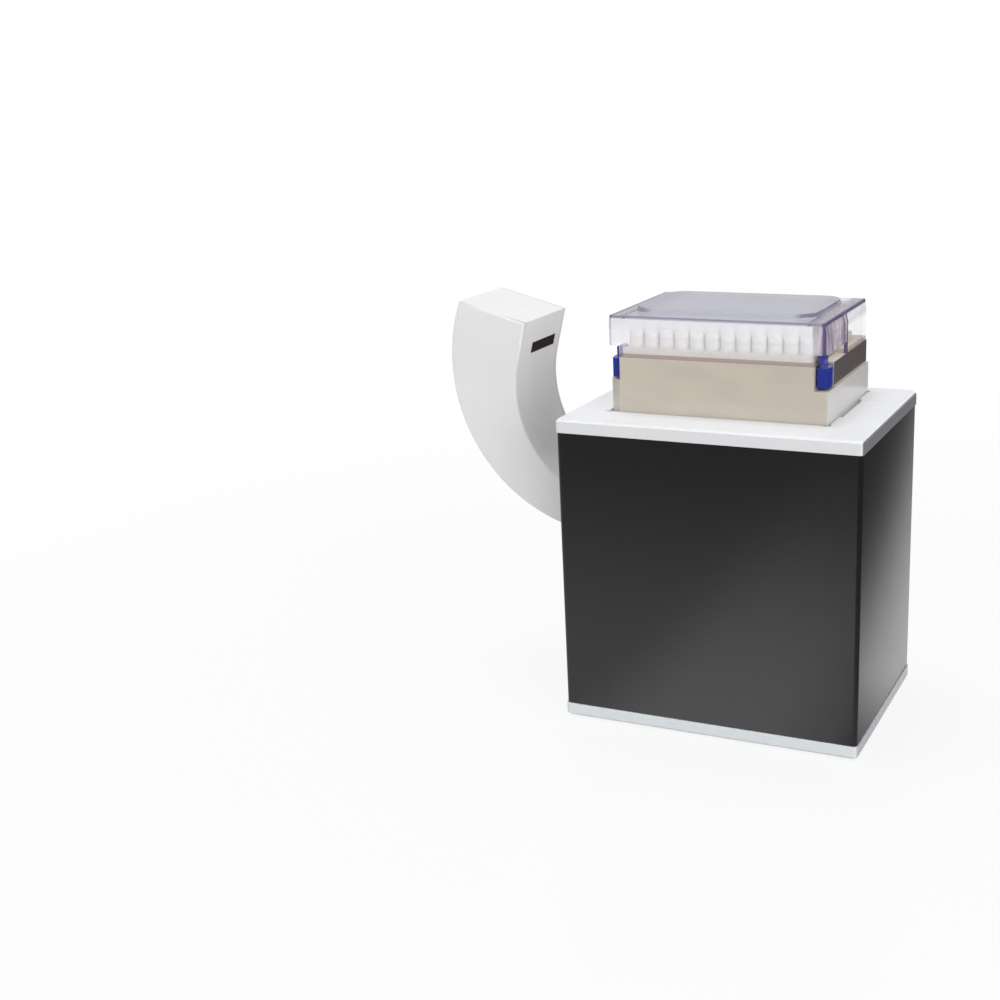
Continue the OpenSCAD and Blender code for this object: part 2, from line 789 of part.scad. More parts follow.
// Board inside the arm, on spacers that stand on the front wall
arm_spacer = 4;
arm_board_y = arm_front_y + arm_wall + arm_spacer;
engine_gap = 1.5;
engine_deep = 16;
engine_high = 14;
engine_x = -arm_wall - slit_t - engine_gap - engine_deep;
engine_y = arm_board_y + board_t - arm_y - slit_shift;
arm_board_in = 9.5;
arm_board_drop = 29.5;
arm_spacer_r = 3;
spacer_in = 16;
spacer_up = [32, 6, -19];
function spacer_x(h) = arm_outer_x
    - sqrt(pow(arm_outer_r - spacer_in, 2) - pow(arm_inner_z + h - arm_outer_z, 2));

module arm_board() {
    color("#1f5f3c") difference() {
        intersection() {
            arm_slab(arm_board_y, arm_board_y + board_t, arm_board_in);
            translate([arm_left_x, arm_board_y, arm_inner_z - arm_board_drop])
                cube([arm_reach, board_t, arm_reach]);
        }
        for (h = spacer_up) translate([spacer_x(h), arm_board_y + board_t + past,
            arm_inner_z + h]) rotate([90, 0, 0]) cylinder(r = screw_r, h = board_t + 2 * past);
    }
}

module arm_board_spacers() {
    color("#c8a24a") for (h = spacer_up)
        translate([spacer_x(h), arm_board_y, arm_inner_z + h]) {
            rotate([90, 0, 0]) cylinder(r = arm_spacer_r, h = arm_spacer);
            rotate([-90, 0, 0]) cylinder(r = screw_r, h = board_t);
            translate([0, board_t, 0]) rotate([-90, 0, 0])
                cylinder(r = 0.8 * arm_spacer_r, h = arm_spacer_r / 2);
        }
}

module scan_engine() {
    color("#2b2d31") at_window() difference() {
        translate([engine_x, engine_y, -engine_high / 2])
            cube([engine_deep, slit_w / 2 - engine_y, engine_high]);
        for (y = [-8, 8]) translate([engine_x + engine_deep - 2, y, 0]) rotate([0, 90, 0])
            cylinder(r = 3.5, h = 2 + past);
    }
}

module engine_lens() {
    color("#7d93b5") at_window() for (y = [-8, 8])
        translate([engine_x + engine_deep - 2, y, 0]) rotate([0, 90, 0]) cylinder(r = 3.5, h = 2.6);
}

// Foot outline of the rack: square corners on the right, cut corners on the left
module rack_outline(w, d, cut) {
    polygon([[w / 2, -d / 2], [w / 2, d / 2], [cut - w / 2, d / 2], [-w / 2, d / 2 - cut],
        [-w / 2, cut - d / 2], [cut - w / 2, -d / 2]]);
}

module at_rack() {
    translate([nest_x, nest_y, 0]) children();
}

module at_tubes() {
    for (i = [0 : cols - 1], j = [0 : rows - 1]) translate([col_x(i), row_y(j), 0]) children();
}

// The two ends of the rack: the right one as drawn, the left one mirrored
module at_ends() {
    children();
    mirror([1, 0, 0]) children();
}

// Cylinder along Y from one place to another
module y_rod(r, x, y_from, y_to, z) {
    translate([x, y_from, z]) rotate([-90, 0, 0]) cylinder(r = r, h = y_to - y_from);
}

module rack_inside() {
    rack_outline(rack_w - 2 * skirt_wall, rack_d - 2 * skirt_wall,
        key_chamfer - skirt_wall * (2 - sqrt(2)));
}

module rack_frame() {
    pocket = 1.2;
    color("#c9bfae") at_rack() difference() {
        union() {
            translate([0, 0, nest_z]) linear_extrude(skirt_h)
                rack_outline(rack_w, rack_d, key_chamfer);
            translate([0, 0, ledge_z]) block(upper_w, rack_d, upper_h);
            // end blocks, flush with the lid
            intersection() {
                translate([0, 0, ledge_z]) linear_extrude(upper_h)
                    rack_outline(rack_w, rack_d, key_chamfer);
                at_ends() translate([0, end_y, ledge_z])
                    cube([lid_w / 2, rack_d, upper_h]);
            }
        }
        translate([0, 0, nest_z - past]) linear_extrude(skirt_h - skirt_wall + past)
            rack_inside();
        translate([0, 0, ledge_z - skirt_wall - past])
            block(upper_w - 2 * end_wall, rack_d - 2 * side_wall, upper_h + skirt_wall + 2 * past);
        // hollow of the end blocks behind the pins, open below
        intersection() {
            translate([0, 0, ledge_z - 2 * skirt_wall])
                linear_extrude(2 * skirt_wall + upper_h - shelf_t) rack_inside();
            at_ends() translate([0, end_y + pin_seat, nest_z])
                cube([lid_w / 2 - end_wall, rack_d / 2 - side_wall - end_y - pin_seat, rack_d]);
        }
        at_ends() {
            translate([upper_w / 2, latch_y, pad_z - 0.5])
                block(2 * pocket, latch_w + 2 * latch_gap, upper_h);
            y_rod(latch_pin_d / 2, pin_x, end_y - past, end_y + pin_seat, pin_z);
        }
    }
}

module rack_deck() {
    color("#c9bfae") at_rack() translate([0, 0, shoulder_z]) difference() {
        block(upper_w - 2 * deck_edge, rack_d - 2 * deck_edge, deck_h);
        at_tubes() translate([0, 0, -past]) cylinder(r = bore_d / 2, h = deck_h + 2 * past);
    }
}

module rack_grid() {
    color("#c9bfae") at_rack() translate([0, 0, nest_z + grid_up]) difference() {
        linear_extrude(grid_t) rack_inside();
        at_tubes() translate([0, 0, -past]) cylinder(r = bore_d / 2, h = grid_t + 2 * past);
    }
}

module tubes() {
    collar_h = tube_rise - cap_h;
    foot_h = 1;
    tube_z = nest_z + tube_foot;
    color("#f0f0ee") at_rack() at_tubes() translate([0, 0, tube_z]) {
        cylinder(r1 = tube_d / 2 - 0.6, r2 = tube_d / 2, h = foot_h);
        translate([0, 0, foot_h]) cylinder(r = tube_d / 2, h = deck_z - tube_z - foot_h);
        translate([0, 0, deck_z - tube_z]) cylinder(r = collar_d / 2, h = collar_h);
    }
}

module tube_caps() {
    key_r = 2.2;
    key_h = 4;
    color("#fafafa") at_rack() at_tubes() translate([0, 0, deck_z + tube_rise - cap_h])
        difference() {
            cylinder(r = cap_d / 2, h = cap_h);
            translate([0, 0, cap_h - key_h]) cylinder(r = key_r, h = key_h + past, $fn = 6);
        }
}

module latch_pins() {
    color("silver") at_rack() at_ends()
        y_rod(latch_pin_d / 2, pin_x, pin_front_y, end_y + pin_seat, pin_z);
}

// Latch of the right end: a bulging thumb pad, a hook that rises from it and a nose that
// points at the lid's slot
module latch() {
    inner_x = upper_w / 2 + pad_gap;
    outer_x = upper_w / 2 + latch_reach;
    bulge_r = 1.2 * latch_w;
    hook_x = inner_x + 1;
    hook_w = nose_slot_w - 1;
    tip_x = upper_w / 2 + lid_gap;
    difference() {
        translate([0, latch_y, 0]) {
            translate([0, 0, pad_z]) linear_extrude(pad_h) intersection() {
                translate([inner_x, -latch_w / 2]) square([outer_x - inner_x, latch_w]);
                translate([outer_x - bulge_r, 0]) circle(bulge_r);
            }
            translate([hook_x, -hook_w / 2, pad_z + pad_h - past])
                cube([hook_t, hook_w, hook_top - pad_z - pad_h + past]);
            translate([tip_x, -hook_w / 2, hook_top - nose_h])
                cube([hook_x + hook_t - tip_x, hook_w, nose_h]);
        }
        y_rod(latch_pin_d / 2 + pin_gap, pin_x, pin_front_y - latch_gap, end_y, pin_z);
    }
}

module latch_right() {
    color("#2b3aa8") at_rack() latch();
}

module latch_left() {
    color("#2b3aa8") at_rack() mirror([1, 0, 0]) latch();
}

// Raised field of the lid, its sides leaning in
module plateau(inset, h) {
    lean = 1.5;
    w = lid_w - 2 * plateau_inset_x - 2 * inset;
    d = rack_d - 2 * plateau_inset_y - 2 * inset;
    r = plateau_r - inset;
    hull() {
        linear_extrude(0.01) round_rect(w, d, r, $fn = 32);
        linear_extrude(h) round_rect(w - 2 * lean, d - 2 * lean, r - lean, $fn = 32);
    }
}

// Lid without its raised field, drawn in by the given amount: near the top its ends lean in
module lid_block(inset, below, h) {
    half = lid_w / 2 - inset;
    difference() {
        translate([0, 0, -below]) linear_extrude(h + below)
            round_rect(2 * half, rack_d - 2 * inset, lid_r - inset / 2);
        at_ends() translate([half, rack_d, lid_h - lean_h]) rotate([90, 0, 0])
            linear_extrude(2 * rack_d)
                polygon([[lid_lean, -lean_h], [3 * lid_lean, 2 * lean_h],
                    [-2 * lid_lean, 2 * lean_h]]);
    }
}

module rack_lid() {
    front_y = -rack_d / 2;
    apron_x = upper_w / 2 - lid_wall;
    out = lid_w / 2 - apron_x;
    color("#b7a3d6", 0.35) at_rack() translate([0, 0, shoulder_z]) difference() {
        union() {
            difference() {
                union() {
                    lid_block(0, 0, lid_h);
                    translate([0, 0, lid_h]) plateau(0, plateau_h);
                }
                lid_block(lid_wall, past, lid_h - lid_wall);
                translate([0, 0, lid_h - lid_wall - 0.01]) plateau(lid_wall, plateau_h + 0.01);
                at_ends() translate([upper_w / 2, front_y - past, -past])
                    cube([rack_w, bay_l + past, bay_h + past]);
            }
            // apron, ceiling and rear wall of each latch bay
            intersection() {
                lid_block(0, 0, lid_h - lid_wall / 2);
                at_ends() translate([apron_x, front_y, 0]) {
                    cube([lid_wall, bay_l, bay_h + lid_wall]);
                    translate([0, 0, bay_h]) cube([out + past, bay_l, lid_wall]);
                    translate([0, bay_l, 0]) cube([out + past, lid_wall, lid_h]);
                }
            }
        }
        at_ends() translate([apron_x - past, latch_y, hook_top - shoulder_z - nose_h - 0.5])
            translate([0, -nose_slot_w / 2, 0]) cube([lid_wall + 2 * past, nose_slot_w, nose_h + 1]);
    }
}

housing_wrap();
top_plate();
base_plate();
rubber_feet();
base_screws();
corner_posts();
scan_glass();
glass_gasket();
camera_body();
camera_lens();
lens_front();
camera_stand();
camera_screws();
lamp_board_left();
lamp_board_right();
lamp_leds();
lamp_diffuser_left();
lamp_diffuser_right();
lamp_brackets();
main_board();
board_chips();
board_spacers();
board_screws();
usb_socket();
power_socket();
arm_shell();
arm_cover();
arm_cover_screws();
arm_window();
arm_clamp();
arm_bolts();
arm_grommet();
scan_engine();
engine_lens();
arm_board();
arm_board_spacers();
rack_frame();
rack_deck();
rack_grid();
tubes();
tube_caps();
latch_pins();
latch_left();
latch_right();
rack_lid();
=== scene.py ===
"""Dresses the rack barcode reader: finishes, soft-edged shells, tubes, lid, stage and camera.

Every length in this file is in millimetres until a mesh is made; meshes are in metres.
"""
import logging
import math
from dataclasses import dataclass
from enum import Enum
from typing import Callable, NamedTuple, Sequence

import bmesh
import bpy
import numpy as np
from mathutils import Matrix, Vector


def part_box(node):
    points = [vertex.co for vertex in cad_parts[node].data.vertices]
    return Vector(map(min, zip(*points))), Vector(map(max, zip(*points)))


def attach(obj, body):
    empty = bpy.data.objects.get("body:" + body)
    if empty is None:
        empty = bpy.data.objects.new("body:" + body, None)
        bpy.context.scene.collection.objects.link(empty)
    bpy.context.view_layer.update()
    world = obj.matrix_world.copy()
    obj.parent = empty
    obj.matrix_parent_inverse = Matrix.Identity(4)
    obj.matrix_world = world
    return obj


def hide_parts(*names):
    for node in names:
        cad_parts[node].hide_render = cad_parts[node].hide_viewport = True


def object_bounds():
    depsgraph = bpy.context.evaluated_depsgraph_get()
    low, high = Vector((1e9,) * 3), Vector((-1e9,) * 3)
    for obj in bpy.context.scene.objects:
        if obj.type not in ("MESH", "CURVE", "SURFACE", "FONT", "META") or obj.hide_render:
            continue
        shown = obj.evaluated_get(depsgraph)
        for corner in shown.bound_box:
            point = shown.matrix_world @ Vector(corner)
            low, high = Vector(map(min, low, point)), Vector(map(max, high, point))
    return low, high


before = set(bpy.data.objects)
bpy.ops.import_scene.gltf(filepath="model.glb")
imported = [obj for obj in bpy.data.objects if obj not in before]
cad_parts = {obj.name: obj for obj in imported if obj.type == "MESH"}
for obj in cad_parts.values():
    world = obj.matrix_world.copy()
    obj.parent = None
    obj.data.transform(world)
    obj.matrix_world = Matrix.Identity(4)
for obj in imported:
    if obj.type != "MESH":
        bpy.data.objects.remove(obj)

LOG = logging.getLogger("rack_reader")
MM = 0.001
Colour = tuple[float, float, float]  # linear red, green, blue
Triple = tuple[float, float, float]  # one number for each of X, Y and Z
Fade = tuple[float, float]  # where a smooth change starts and ends, in millimetres
CAD_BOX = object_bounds()
WHITE = (1.0, 1.0, 1.0, 1.0)


def box_mm(node: str) -> tuple[np.ndarray, np.ndarray]:
    """Lowest and highest corner of a CAD node, in millimetres."""
    low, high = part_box(node)
    return np.array(low) / MM, np.array(high) / MM


def spans_mm(node: str) -> list[tuple[float, float]]:
    """Lowest and highest X, Y and Z of a CAD node, in millimetres."""
    return [(float(low), float(high)) for low, high in zip(*box_mm(node))]


class Value:
    """A shader number that takes part in Python arithmetic and adds Math nodes."""

    def __init__(self, shader: "Shader", socket: bpy.types.NodeSocket) -> None:
        """Keeps the shader it belongs to and its output socket."""
        self.shader = shader
        self.socket = socket

    def math(self, operation: str, *others: "Value | float") -> "Value":
        """Adds a Math node.

        Args:
            operation: The Math node's operation.
            others: Further inputs, values or numbers.

        Returns:
            The node's result.
        """
        values = {0: self}
        values.update({i + 1: other for i, other in enumerate(others)})
        return self.shader.node("ShaderNodeMath", {"operation": operation}, values)

    def __add__(self, other: "Value | float") -> "Value":
        """Sum."""
        return self.math("ADD", other)

    __radd__ = __add__

    def __sub__(self, other: "Value | float") -> "Value":
        """Difference."""
        return self.math("SUBTRACT", other)

    def __rsub__(self, other: float) -> "Value":
        """Difference with a number on the left."""
        return self.shader.node("ShaderNodeMath", {"operation": "SUBTRACT"}, {0: other, 1: self})

    def __mul__(self, other: "Value | float") -> "Value":
        """Product."""
        return self.math("MULTIPLY", other)

    __rmul__ = __mul__

    def __abs__(self) -> "Value":
        """Distance from zero."""
        return self.math("ABSOLUTE")

    def __neg__(self) -> "Value":
        """Opposite."""
        return self * -1.0

    def step(self, low: float, high: float) -> "Value":
        """Goes smoothly from 0 at low to 1 at high."""
        return self.shader.node(
            "ShaderNodeMapRange",
            {"interpolation_type": "SMOOTHSTEP", "clamp": True},
            {0: self, 1: low, 2: high, 3: 0.0, 4: 1.0})


class Shader:
    """The node tree of a material or a world, built from values."""

    def __init__(self, name: str, kind: str = "Material") -> None:
        """Makes an empty tree.

        Args:
            name: Name of the material or world.
            kind: Material or World.
        """
        store = {"Material": bpy.data.materials, "World": bpy.data.worlds}[kind]
        self.kind = kind
        self.owner = store.new(name)
        self.owner.use_nodes = True
        self.tree = self.owner.node_tree
        self.tree.nodes.clear()

    def node(self, kind: str, settings: dict | None = None,
             values: dict | None = None, out: int | str | None = 0) -> Value | None:
        """Adds a node.

        Args:
            kind: The node's type.
            settings: Its own settings, set first.
            values: Its inputs by index or name, each a Value, a number or a tuple.
            out: The output to hand back; None for a node that has none.

        Returns:
            That output as a Value, or None.
        """
        made = self.tree.nodes.new(kind)
        for key, setting in (settings or {}).items():
            setattr(made, key, setting)
        for key, value in (values or {}).items():
            if isinstance(value, Value):
                self.tree.links.new(value.socket, made.inputs[key])
            else:
                made.inputs[key].default_value = value
        return None if out is None else Value(self, made.outputs[out])

    def place(self) -> tuple[Value, Value, Value]:
        """Reads Object coordinates.

        Returns:
            X, Y and Z in millimetres, as three values.
        """
        where = self.node("ShaderNodeTexCoord", out="Object")
        split = [self.node("ShaderNodeSeparateXYZ", None, {0: where}, axis) for axis in "XYZ"]
        return tuple(axis * (1.0 / MM) for axis in split)

    def noise(self, size_mm: float, detail: float = 2.0, roughness: float = 0.5,
              stretch: Triple = (1.0, 1.0, 1.0)) -> Value:
        """Noise on Object coordinates.

        Args:
            size_mm: Width of its features.
            detail: Number of finer layers.
            roughness: How strong the finer layers are.
            stretch: How many times finer it is along each axis.

        Returns:
            The noise, about 0.5 on average.
        """
        where = self.node("ShaderNodeTexCoord", out="Object")
        scaled = self.node("ShaderNodeMapping", {"vector_type": "POINT"},
                           {"Vector": where, "Scale": stretch})
        return self.node("ShaderNodeTexNoise", None,
                         {"Vector": scaled, "Scale": 1.0 / (size_mm * MM), "Detail": detail,
                          "Roughness": roughness})

    def blend(self, first: "Value | Colour", second: "Value | Colour",
              share: "Value | float") -> Value:
        """Mixes two colours.

        Args:
            first: The colour where the share is 0.
            second: The colour where the share is 1.
            share: How much of the second colour there is.

        Returns:
            The mixed colour.
        """
        rgba = [c if isinstance(c, Value) else (*c, 1.0) for c in (first, second)]
        return self.node("ShaderNodeMix", {"data_type": "RGBA"},
                         {0: share, 6: rgba[0], 7: rgba[1]}, 2)

    def bump(self, height: Value, depth_mm: float) -> Value:
        """Turns a height into a normal; depth_mm is the height of a full step."""
        return self.node("ShaderNodeBump", None,
                         {"Height": height, "Strength": 1.0, "Distance": depth_mm * MM})

    def finish(self, **sockets: "Value | float | Colour") -> bpy.types.Material:
        """Adds the Principled shader and the output.

        Args:
            sockets: Principled inputs, with underscores for spaces.

        Returns:
            The finished material.
        """
        values = {}
        for key, value in sockets.items():
            wide = isinstance(value, tuple) and len(value) == 3
            values[key.replace("_", " ")] = (*value, 1.0) if wide else value
        surface = self.node("ShaderNodeBsdfPrincipled", None, values)
        return self.output(surface)

    def ray(self, kind: str) -> Value:
        """1 for rays of that kind, such as Camera, and 0 for others."""
        return self.node("ShaderNodeLightPath", out=f"Is {kind} Ray")

    def mix(self, share: Value, first: Value, second: Value) -> Value:
        """Mixes two shaders by the share of the second."""
        return self.node("ShaderNodeMixShader", None, {0: share, 1: first, 2: second})

    def output(self, surface: Value) -> bpy.types.Material | bpy.types.World:
        """Links a shader to the tree's output and hands back the material or world."""
        self.node(f"ShaderNodeOutput{self.kind}", None, {"Surface": surface}, None)
        return self.owner


def tint(red: float, green: float, blue: float) -> Colour:
    """Turns a colour as seen on a screen, 0 to 255, into the linear one a shader takes."""
    seen = np.array([red, green, blue]) / 255.0
    return tuple(float(c) for c in np.where(seen < 0.04045, seen / 12.92,
                                            ((seen + 0.055) / 1.055) ** 2.4))


def shaded(colour: Colour, share: float) -> Colour:
    """Darkens a colour to a share of its light."""
    return tuple(c * share for c in colour)


@dataclass(frozen=True)
class Moulded:
    """Moulded or coated plastic: one colour, a fine grain, faint mottling."""

    name: str
    colour: Colour
    roughness: float = 0.42
    grain_mm: float = 0.45
    grain_depth_mm: float = 0.012
    mottle: float = 0.06
    coat: float = 0.0
    gloss: float = 0.5

    def material(self) -> bpy.types.Material:
        """Builds the material.

        Returns:
            The finished material.
        """
        s = Shader(self.name)
        cloud = s.noise(38.0, 3.0)
        fine = s.noise(self.grain_mm, 2.0, 0.6)
        base = s.blend(shaded(self.colour, 1.0 - self.mottle), self.colour, cloud.step(0.3, 0.7))
        rough = self.roughness + (s.noise(9.0, 4.0) - 0.5) * 0.10
        return s.finish(Base_Color=base, Roughness=rough, Coat_Weight=self.coat,
                        Specular_IOR_Level=self.gloss,
                        Normal=s.bump(fine, self.grain_depth_mm))


@dataclass(frozen=True)
class GlossSheet:
    """Glossy black coated sheet of the box: orange peel, grime specks, painted floor reflection
    low down.
    """

    name: str = "black gloss coat"
    colour: Colour = tint(24, 24, 26)
    floor_sheen_and_dust: Colour = tint(58, 58, 62)

    def material(self) -> bpy.types.Material:
        """Builds the material.

        Returns:
            The finished material.
        """
        s = Shader(self.name)
        _, _, z = s.place()
        # Painted reflection of the floor: the sheet is blended towards a paler grey low down;
        # the faint specks are grime.
        low = 1.0 - z.step(*spans_mm("housing_wrap")[2])
        specks = s.noise(2.2, 3.0, 0.7).step(0.55, 0.8)
        base = s.blend(self.colour, self.floor_sheen_and_dust, low * 0.35 + specks * 0.03)
        rough = 0.20 + (s.noise(14.0, 4.0) - 0.5) * 0.08 + specks * 0.05
        return s.finish(Base_Color=base, Roughness=rough, Coat_Weight=0.6, Coat_Roughness=0.12,
                        Specular_IOR_Level=0.75, Normal=s.bump(s.noise(6.0, 1.0), 0.010))


@dataclass(frozen=True)
class WhitePlate:
    """White coat of the plates; both end faces carry painted shade and the front face a painted
    light level.
    """

    name: str
    face: Colour
    edge: Colour
    front_shading: Colour
    roughness: float = 0.46

    def material(self) -> bpy.types.Material:
        """Builds the material.

        Returns:
            The finished material.
        """
        s = Shader(self.name)
        x, y, _ = s.place()
        (_, half_w), (_, half_d), _ = spans_mm("top_plate")
        # Painted shade: both end faces take the darker, streaked edge grey.
        painted_end_shade = abs(x).step(half_w - 0.9, half_w - 0.35)
        front = (-y).step(half_d - 0.4, half_d - 0.1)
        brushed = s.noise(0.9, 3.0, 0.6, (1.0, 0.08, 1.0))
        face = s.blend(shaded(self.face, 0.965), self.face, s.noise(45.0, 3.0).step(0.3, 0.7))
        # Painted shading: the front face takes a light level of its own, darker on the top plate
        # and a little lighter on the base plate.
        face = s.blend(face, self.front_shading, front)
        edge = s.blend(shaded(self.edge, 0.82), self.edge, brushed)
        rough = self.roughness + (s.noise(7.0, 4.0) - 0.5) * 0.10
        return s.finish(Base_Color=s.blend(face, edge, painted_end_shade), Roughness=rough,
                        Specular_IOR_Level=0.15, Normal=s.bump(s.noise(0.5, 2.0), 0.008))


@dataclass(frozen=True)
class RackPlastic:
    """Beige rack plastic: dark end walls above the foot, foot ends paled by a painted plate
    reflection.

    foot_step is how far the foot stands out past the end walls, and foot_h is its height.
    """

    name: str
    beige: Colour
    dark: Colour
    painted_plate_reflection: Colour
    foot_step: float = 1.28
    foot_h: float = 20.5

    def material(self) -> bpy.types.Material:
        """Builds the material.

        Returns:
            The finished material.
        """
        s = Shader(self.name)
        x, _, z = s.place()
        (left, right), _, (low, _) = spans_mm("rack_frame")
        outward = abs(x - (left + right) / 2) - ((right - left) / 2 - self.foot_step)
        foot = outward.step(0.4, 1.0)
        band = outward.step(-0.9, -0.3) * (1.0 - foot) \
            * (z - low).step(self.foot_h, self.foot_h + 1.0)
        flow = s.noise(30.0, 4.0, 0.5, (1.0, 1.0, 2.5))
        base = s.blend(shaded(self.beige, 0.92), self.beige, flow.step(0.3, 0.7))
        # Painted reflection: the foot's end faces are paled towards grey, as if lit by the white
        # plate.
        base = s.blend(base, self.painted_plate_reflection, foot)
        rough = 0.34 + (s.noise(5.0, 4.0) - 0.5) * 0.12
        return s.finish(Base_Color=s.blend(base, self.dark, band), Roughness=rough,
                        Specular_IOR_Level=0.8, Coat_Weight=0.35, Coat_Roughness=0.22,
                        Normal=s.bump(s.noise(0.6, 3.0, 0.6), 0.02))


@dataclass(frozen=True)
class MilkyPlastic:
    """Milky plastic, seen through by the share that alpha leaves."""

    name: str
    colour: Colour
    alpha: float
    roughness: float = 0.12
    haze: float = 0.10

    def material(self) -> bpy.types.Material:
        """Builds the material.

        Returns:
            The finished material.
        """
        s = Shader(self.name)
        flow = s.noise(26.0, 3.0, 0.5, (1.0, 1.0, 1.6))
        base = s.blend(shaded(self.colour, 0.93), self.colour, flow)
        alpha = self.alpha + (flow - 0.5) * self.haze
        return s.finish(Base_Color=base, Roughness=self.roughness + (flow - 0.5) * 0.06,
                        Alpha=alpha, Normal=s.bump(s.noise(5.0, 1.0), 0.004))


class Zone(NamedTuple):
    """A part of the lid with a tint of its own."""

    share: Value
    colour: Colour
    alpha: float


@dataclass(frozen=True)
class LidPlastic:
    """Clear lid whose violet tint gathers along its edges, as in any thick clear moulding.

    Each zone is told from the distances to the lid's end, front and top planes. The fades
    named edge or bar are such distances. The roof's and the rise's are heights above the
    top plane, and the rim's, the pale band's and the bay's are heights above the lid's foot.
    The margin is where the raised roof ends, measured from the lid's middle, and the fades of
    margin and rise_corner are distances past it. The pale band is haze and painted light.
    """

    name: str = "lid clear violet"
    end_inset: float = 0.6
    rise_h: float = 3.0
    margin: tuple[float, float] = (53.0, 31.0)
    right_end: Fade = (40.0, 50.0)
    front_part: Fade = (-20.0, -10.0)
    roof_skin: Fade = (-1.75, -1.6)
    rise_foot: Fade = (0.2, 0.5)
    rise_top: Fade = (2.3, 2.7)
    rise_corner: Fade = (-14.0, -6.0)
    margin_fade: Fade = (-1.0, 1.0)
    rim_top: Fade = (2.2, 2.6)
    haze_and_glow_foot: Fade = (13.0, 18.5)
    bay_rear: Fade = (-1.5, -0.5)
    bay_depth: Fade = (6.6, 7.2)
    bay_foot: Fade = (5.0, 6.0)
    wall_depth: Fade = (1.7, 2.1)
    crease_edge: Fade = (0.5, 1.2)
    end_edge: Fade = (1.3, 2.2)
    front_edge: Fade = (0.5, 1.3)
    corner_edge: Fade = (1.0, 2.0)
    bar_half: Fade = (0.9, 1.5)
    bar_depth: Fade = (0.8, 1.8)
    wall_alpha: float = 0.10
    left_strength: float = 0.55
    left_margin_share: float = 0.5
    least_tube_shade: float = 0.4
    violet: Colour = tint(78, 60, 112)
    front_violet: Colour = tint(146, 132, 160)
    panel: Colour = tint(190, 190, 203)
    mauve: Colour = tint(140, 122, 146)
    pale: Colour = tint(246, 244, 250)
    margin_tint: Colour = tint(222, 216, 232)
    rim: Colour = tint(176, 158, 158)

    def zones(self, s: Shader) -> list[Zone]:
        """Lays out the lid's zones.

        Args:
            s: The shader that they are masks of.

        Returns:
            The zones, the last one on top.
        """
        x, y, z = s.place()
        (left, right_x), (near, far), (foot, peak) = spans_mm("rack_lid")
        u, v = x - (left + right_x) / 2, y - (near + far) / 2
        end = (right_x - left) / 2 - self.end_inset - abs(u)
        side = (far - near) / 2 - abs(v)
        height, above = z - foot, z - (peak - self.rise_h)
        end_x, rear_y = self.margin
        right = u.step(*self.right_end)
        front = 1.0 - v.step(*self.front_part)
        roof = above.step(*self.roof_skin)
        wall = 1.0 - roof
        # Painted shade: mauve streaks in the right bay stand for the shaded tubes seen through
        # the wall.
        tube_shade_streaks = s.noise(4.5, 3.0, 0.6, (1.0, 1.0, 0.15)).step(0.35, 0.65) \
            * (1.0 - self.least_tube_shade) + self.least_tube_shade
        bay = right * (1.0 - v.step(*self.bay_rear)) * (1.0 - end.step(*self.bay_depth)) \
            * height.step(*self.bay_foot) * wall
        past_rise = abs(u) - end_x
        beyond = past_rise.step(*self.margin_fade) \
            * (right * (1.0 - self.left_margin_share) + self.left_margin_share)
        behind = (v - rear_y).step(*self.margin_fade)
        crease = front * (1.0 - abs(past_rise).step(*self.crease_edge))
        rise = above.step(*self.rise_foot) * (1.0 - above.step(*self.rise_top)) \
            * past_rise.step(*self.rise_corner)
        near_top = abs(above)
        end_top = 1.0 - end.math("MAXIMUM", near_top).step(*self.end_edge)
        front_top = 1.0 - side.math("MAXIMUM", near_top).step(*self.front_edge)
        corner = 1.0 - end.math("MAXIMUM", side).step(*self.corner_edge)
        bar = (1.0 - abs(v).step(*self.bar_half)) * (1.0 - end.step(*self.bar_depth))
        face = 1.0 - side.step(*self.wall_depth)
        rim = 1.0 - height.step(*self.rim_top)
        dim = right * (1.0 - self.left_strength) + self.left_strength
        return [Zone(face * front * wall, self.pale, alpha=0.30),
                # Partly haze, partly painted light: the pale band high on the walls stands for
                # the sunlit cap tops seen through them.
                Zone(wall * height.step(*self.haze_and_glow_foot), self.pale, alpha=0.56),
                # Painted shade of the tubes behind the right bay's wall.
                Zone(bay * tube_shade_streaks, self.mauve, alpha=0.84),
                Zone(roof, self.panel, alpha=0.78),
                Zone(roof * behind, self.margin_tint, alpha=0.36),
                Zone(roof * beyond, self.mauve, alpha=0.48),
                Zone(roof * crease, self.violet, alpha=0.60),
                Zone(rise * dim, self.violet, alpha=0.60),
                Zone(rim, self.rim, alpha=0.50),
                Zone(front_top * front, self.front_violet, alpha=0.80),
                Zone(end_top * dim, self.violet, alpha=0.90),
                Zone(corner * front * dim, self.violet, alpha=0.88),
                Zone(bar * wall * dim, self.violet, alpha=0.90)]

    def material(self) -> bpy.types.Material:
        """Builds the material by laying the zones over a nearly clear wall.

        Returns:
            The finished material.
        """
        s = Shader(self.name)
        base: Value | Colour = self.pale
        flow = s.noise(26.0, 3.0, 0.5, (1.0, 1.0, 1.6))
        alpha = self.wall_alpha + (flow - 0.5) * 0.06
        for zone in self.zones(s):
            base = s.blend(base, zone.colour, zone.share)
            alpha = alpha + zone.share * (zone.alpha - alpha)
        return s.finish(Base_Color=base, Roughness=0.14 + (flow - 0.5) * 0.06, Alpha=alpha,
                        Normal=s.bump(s.noise(5.0, 1.0), 0.004))


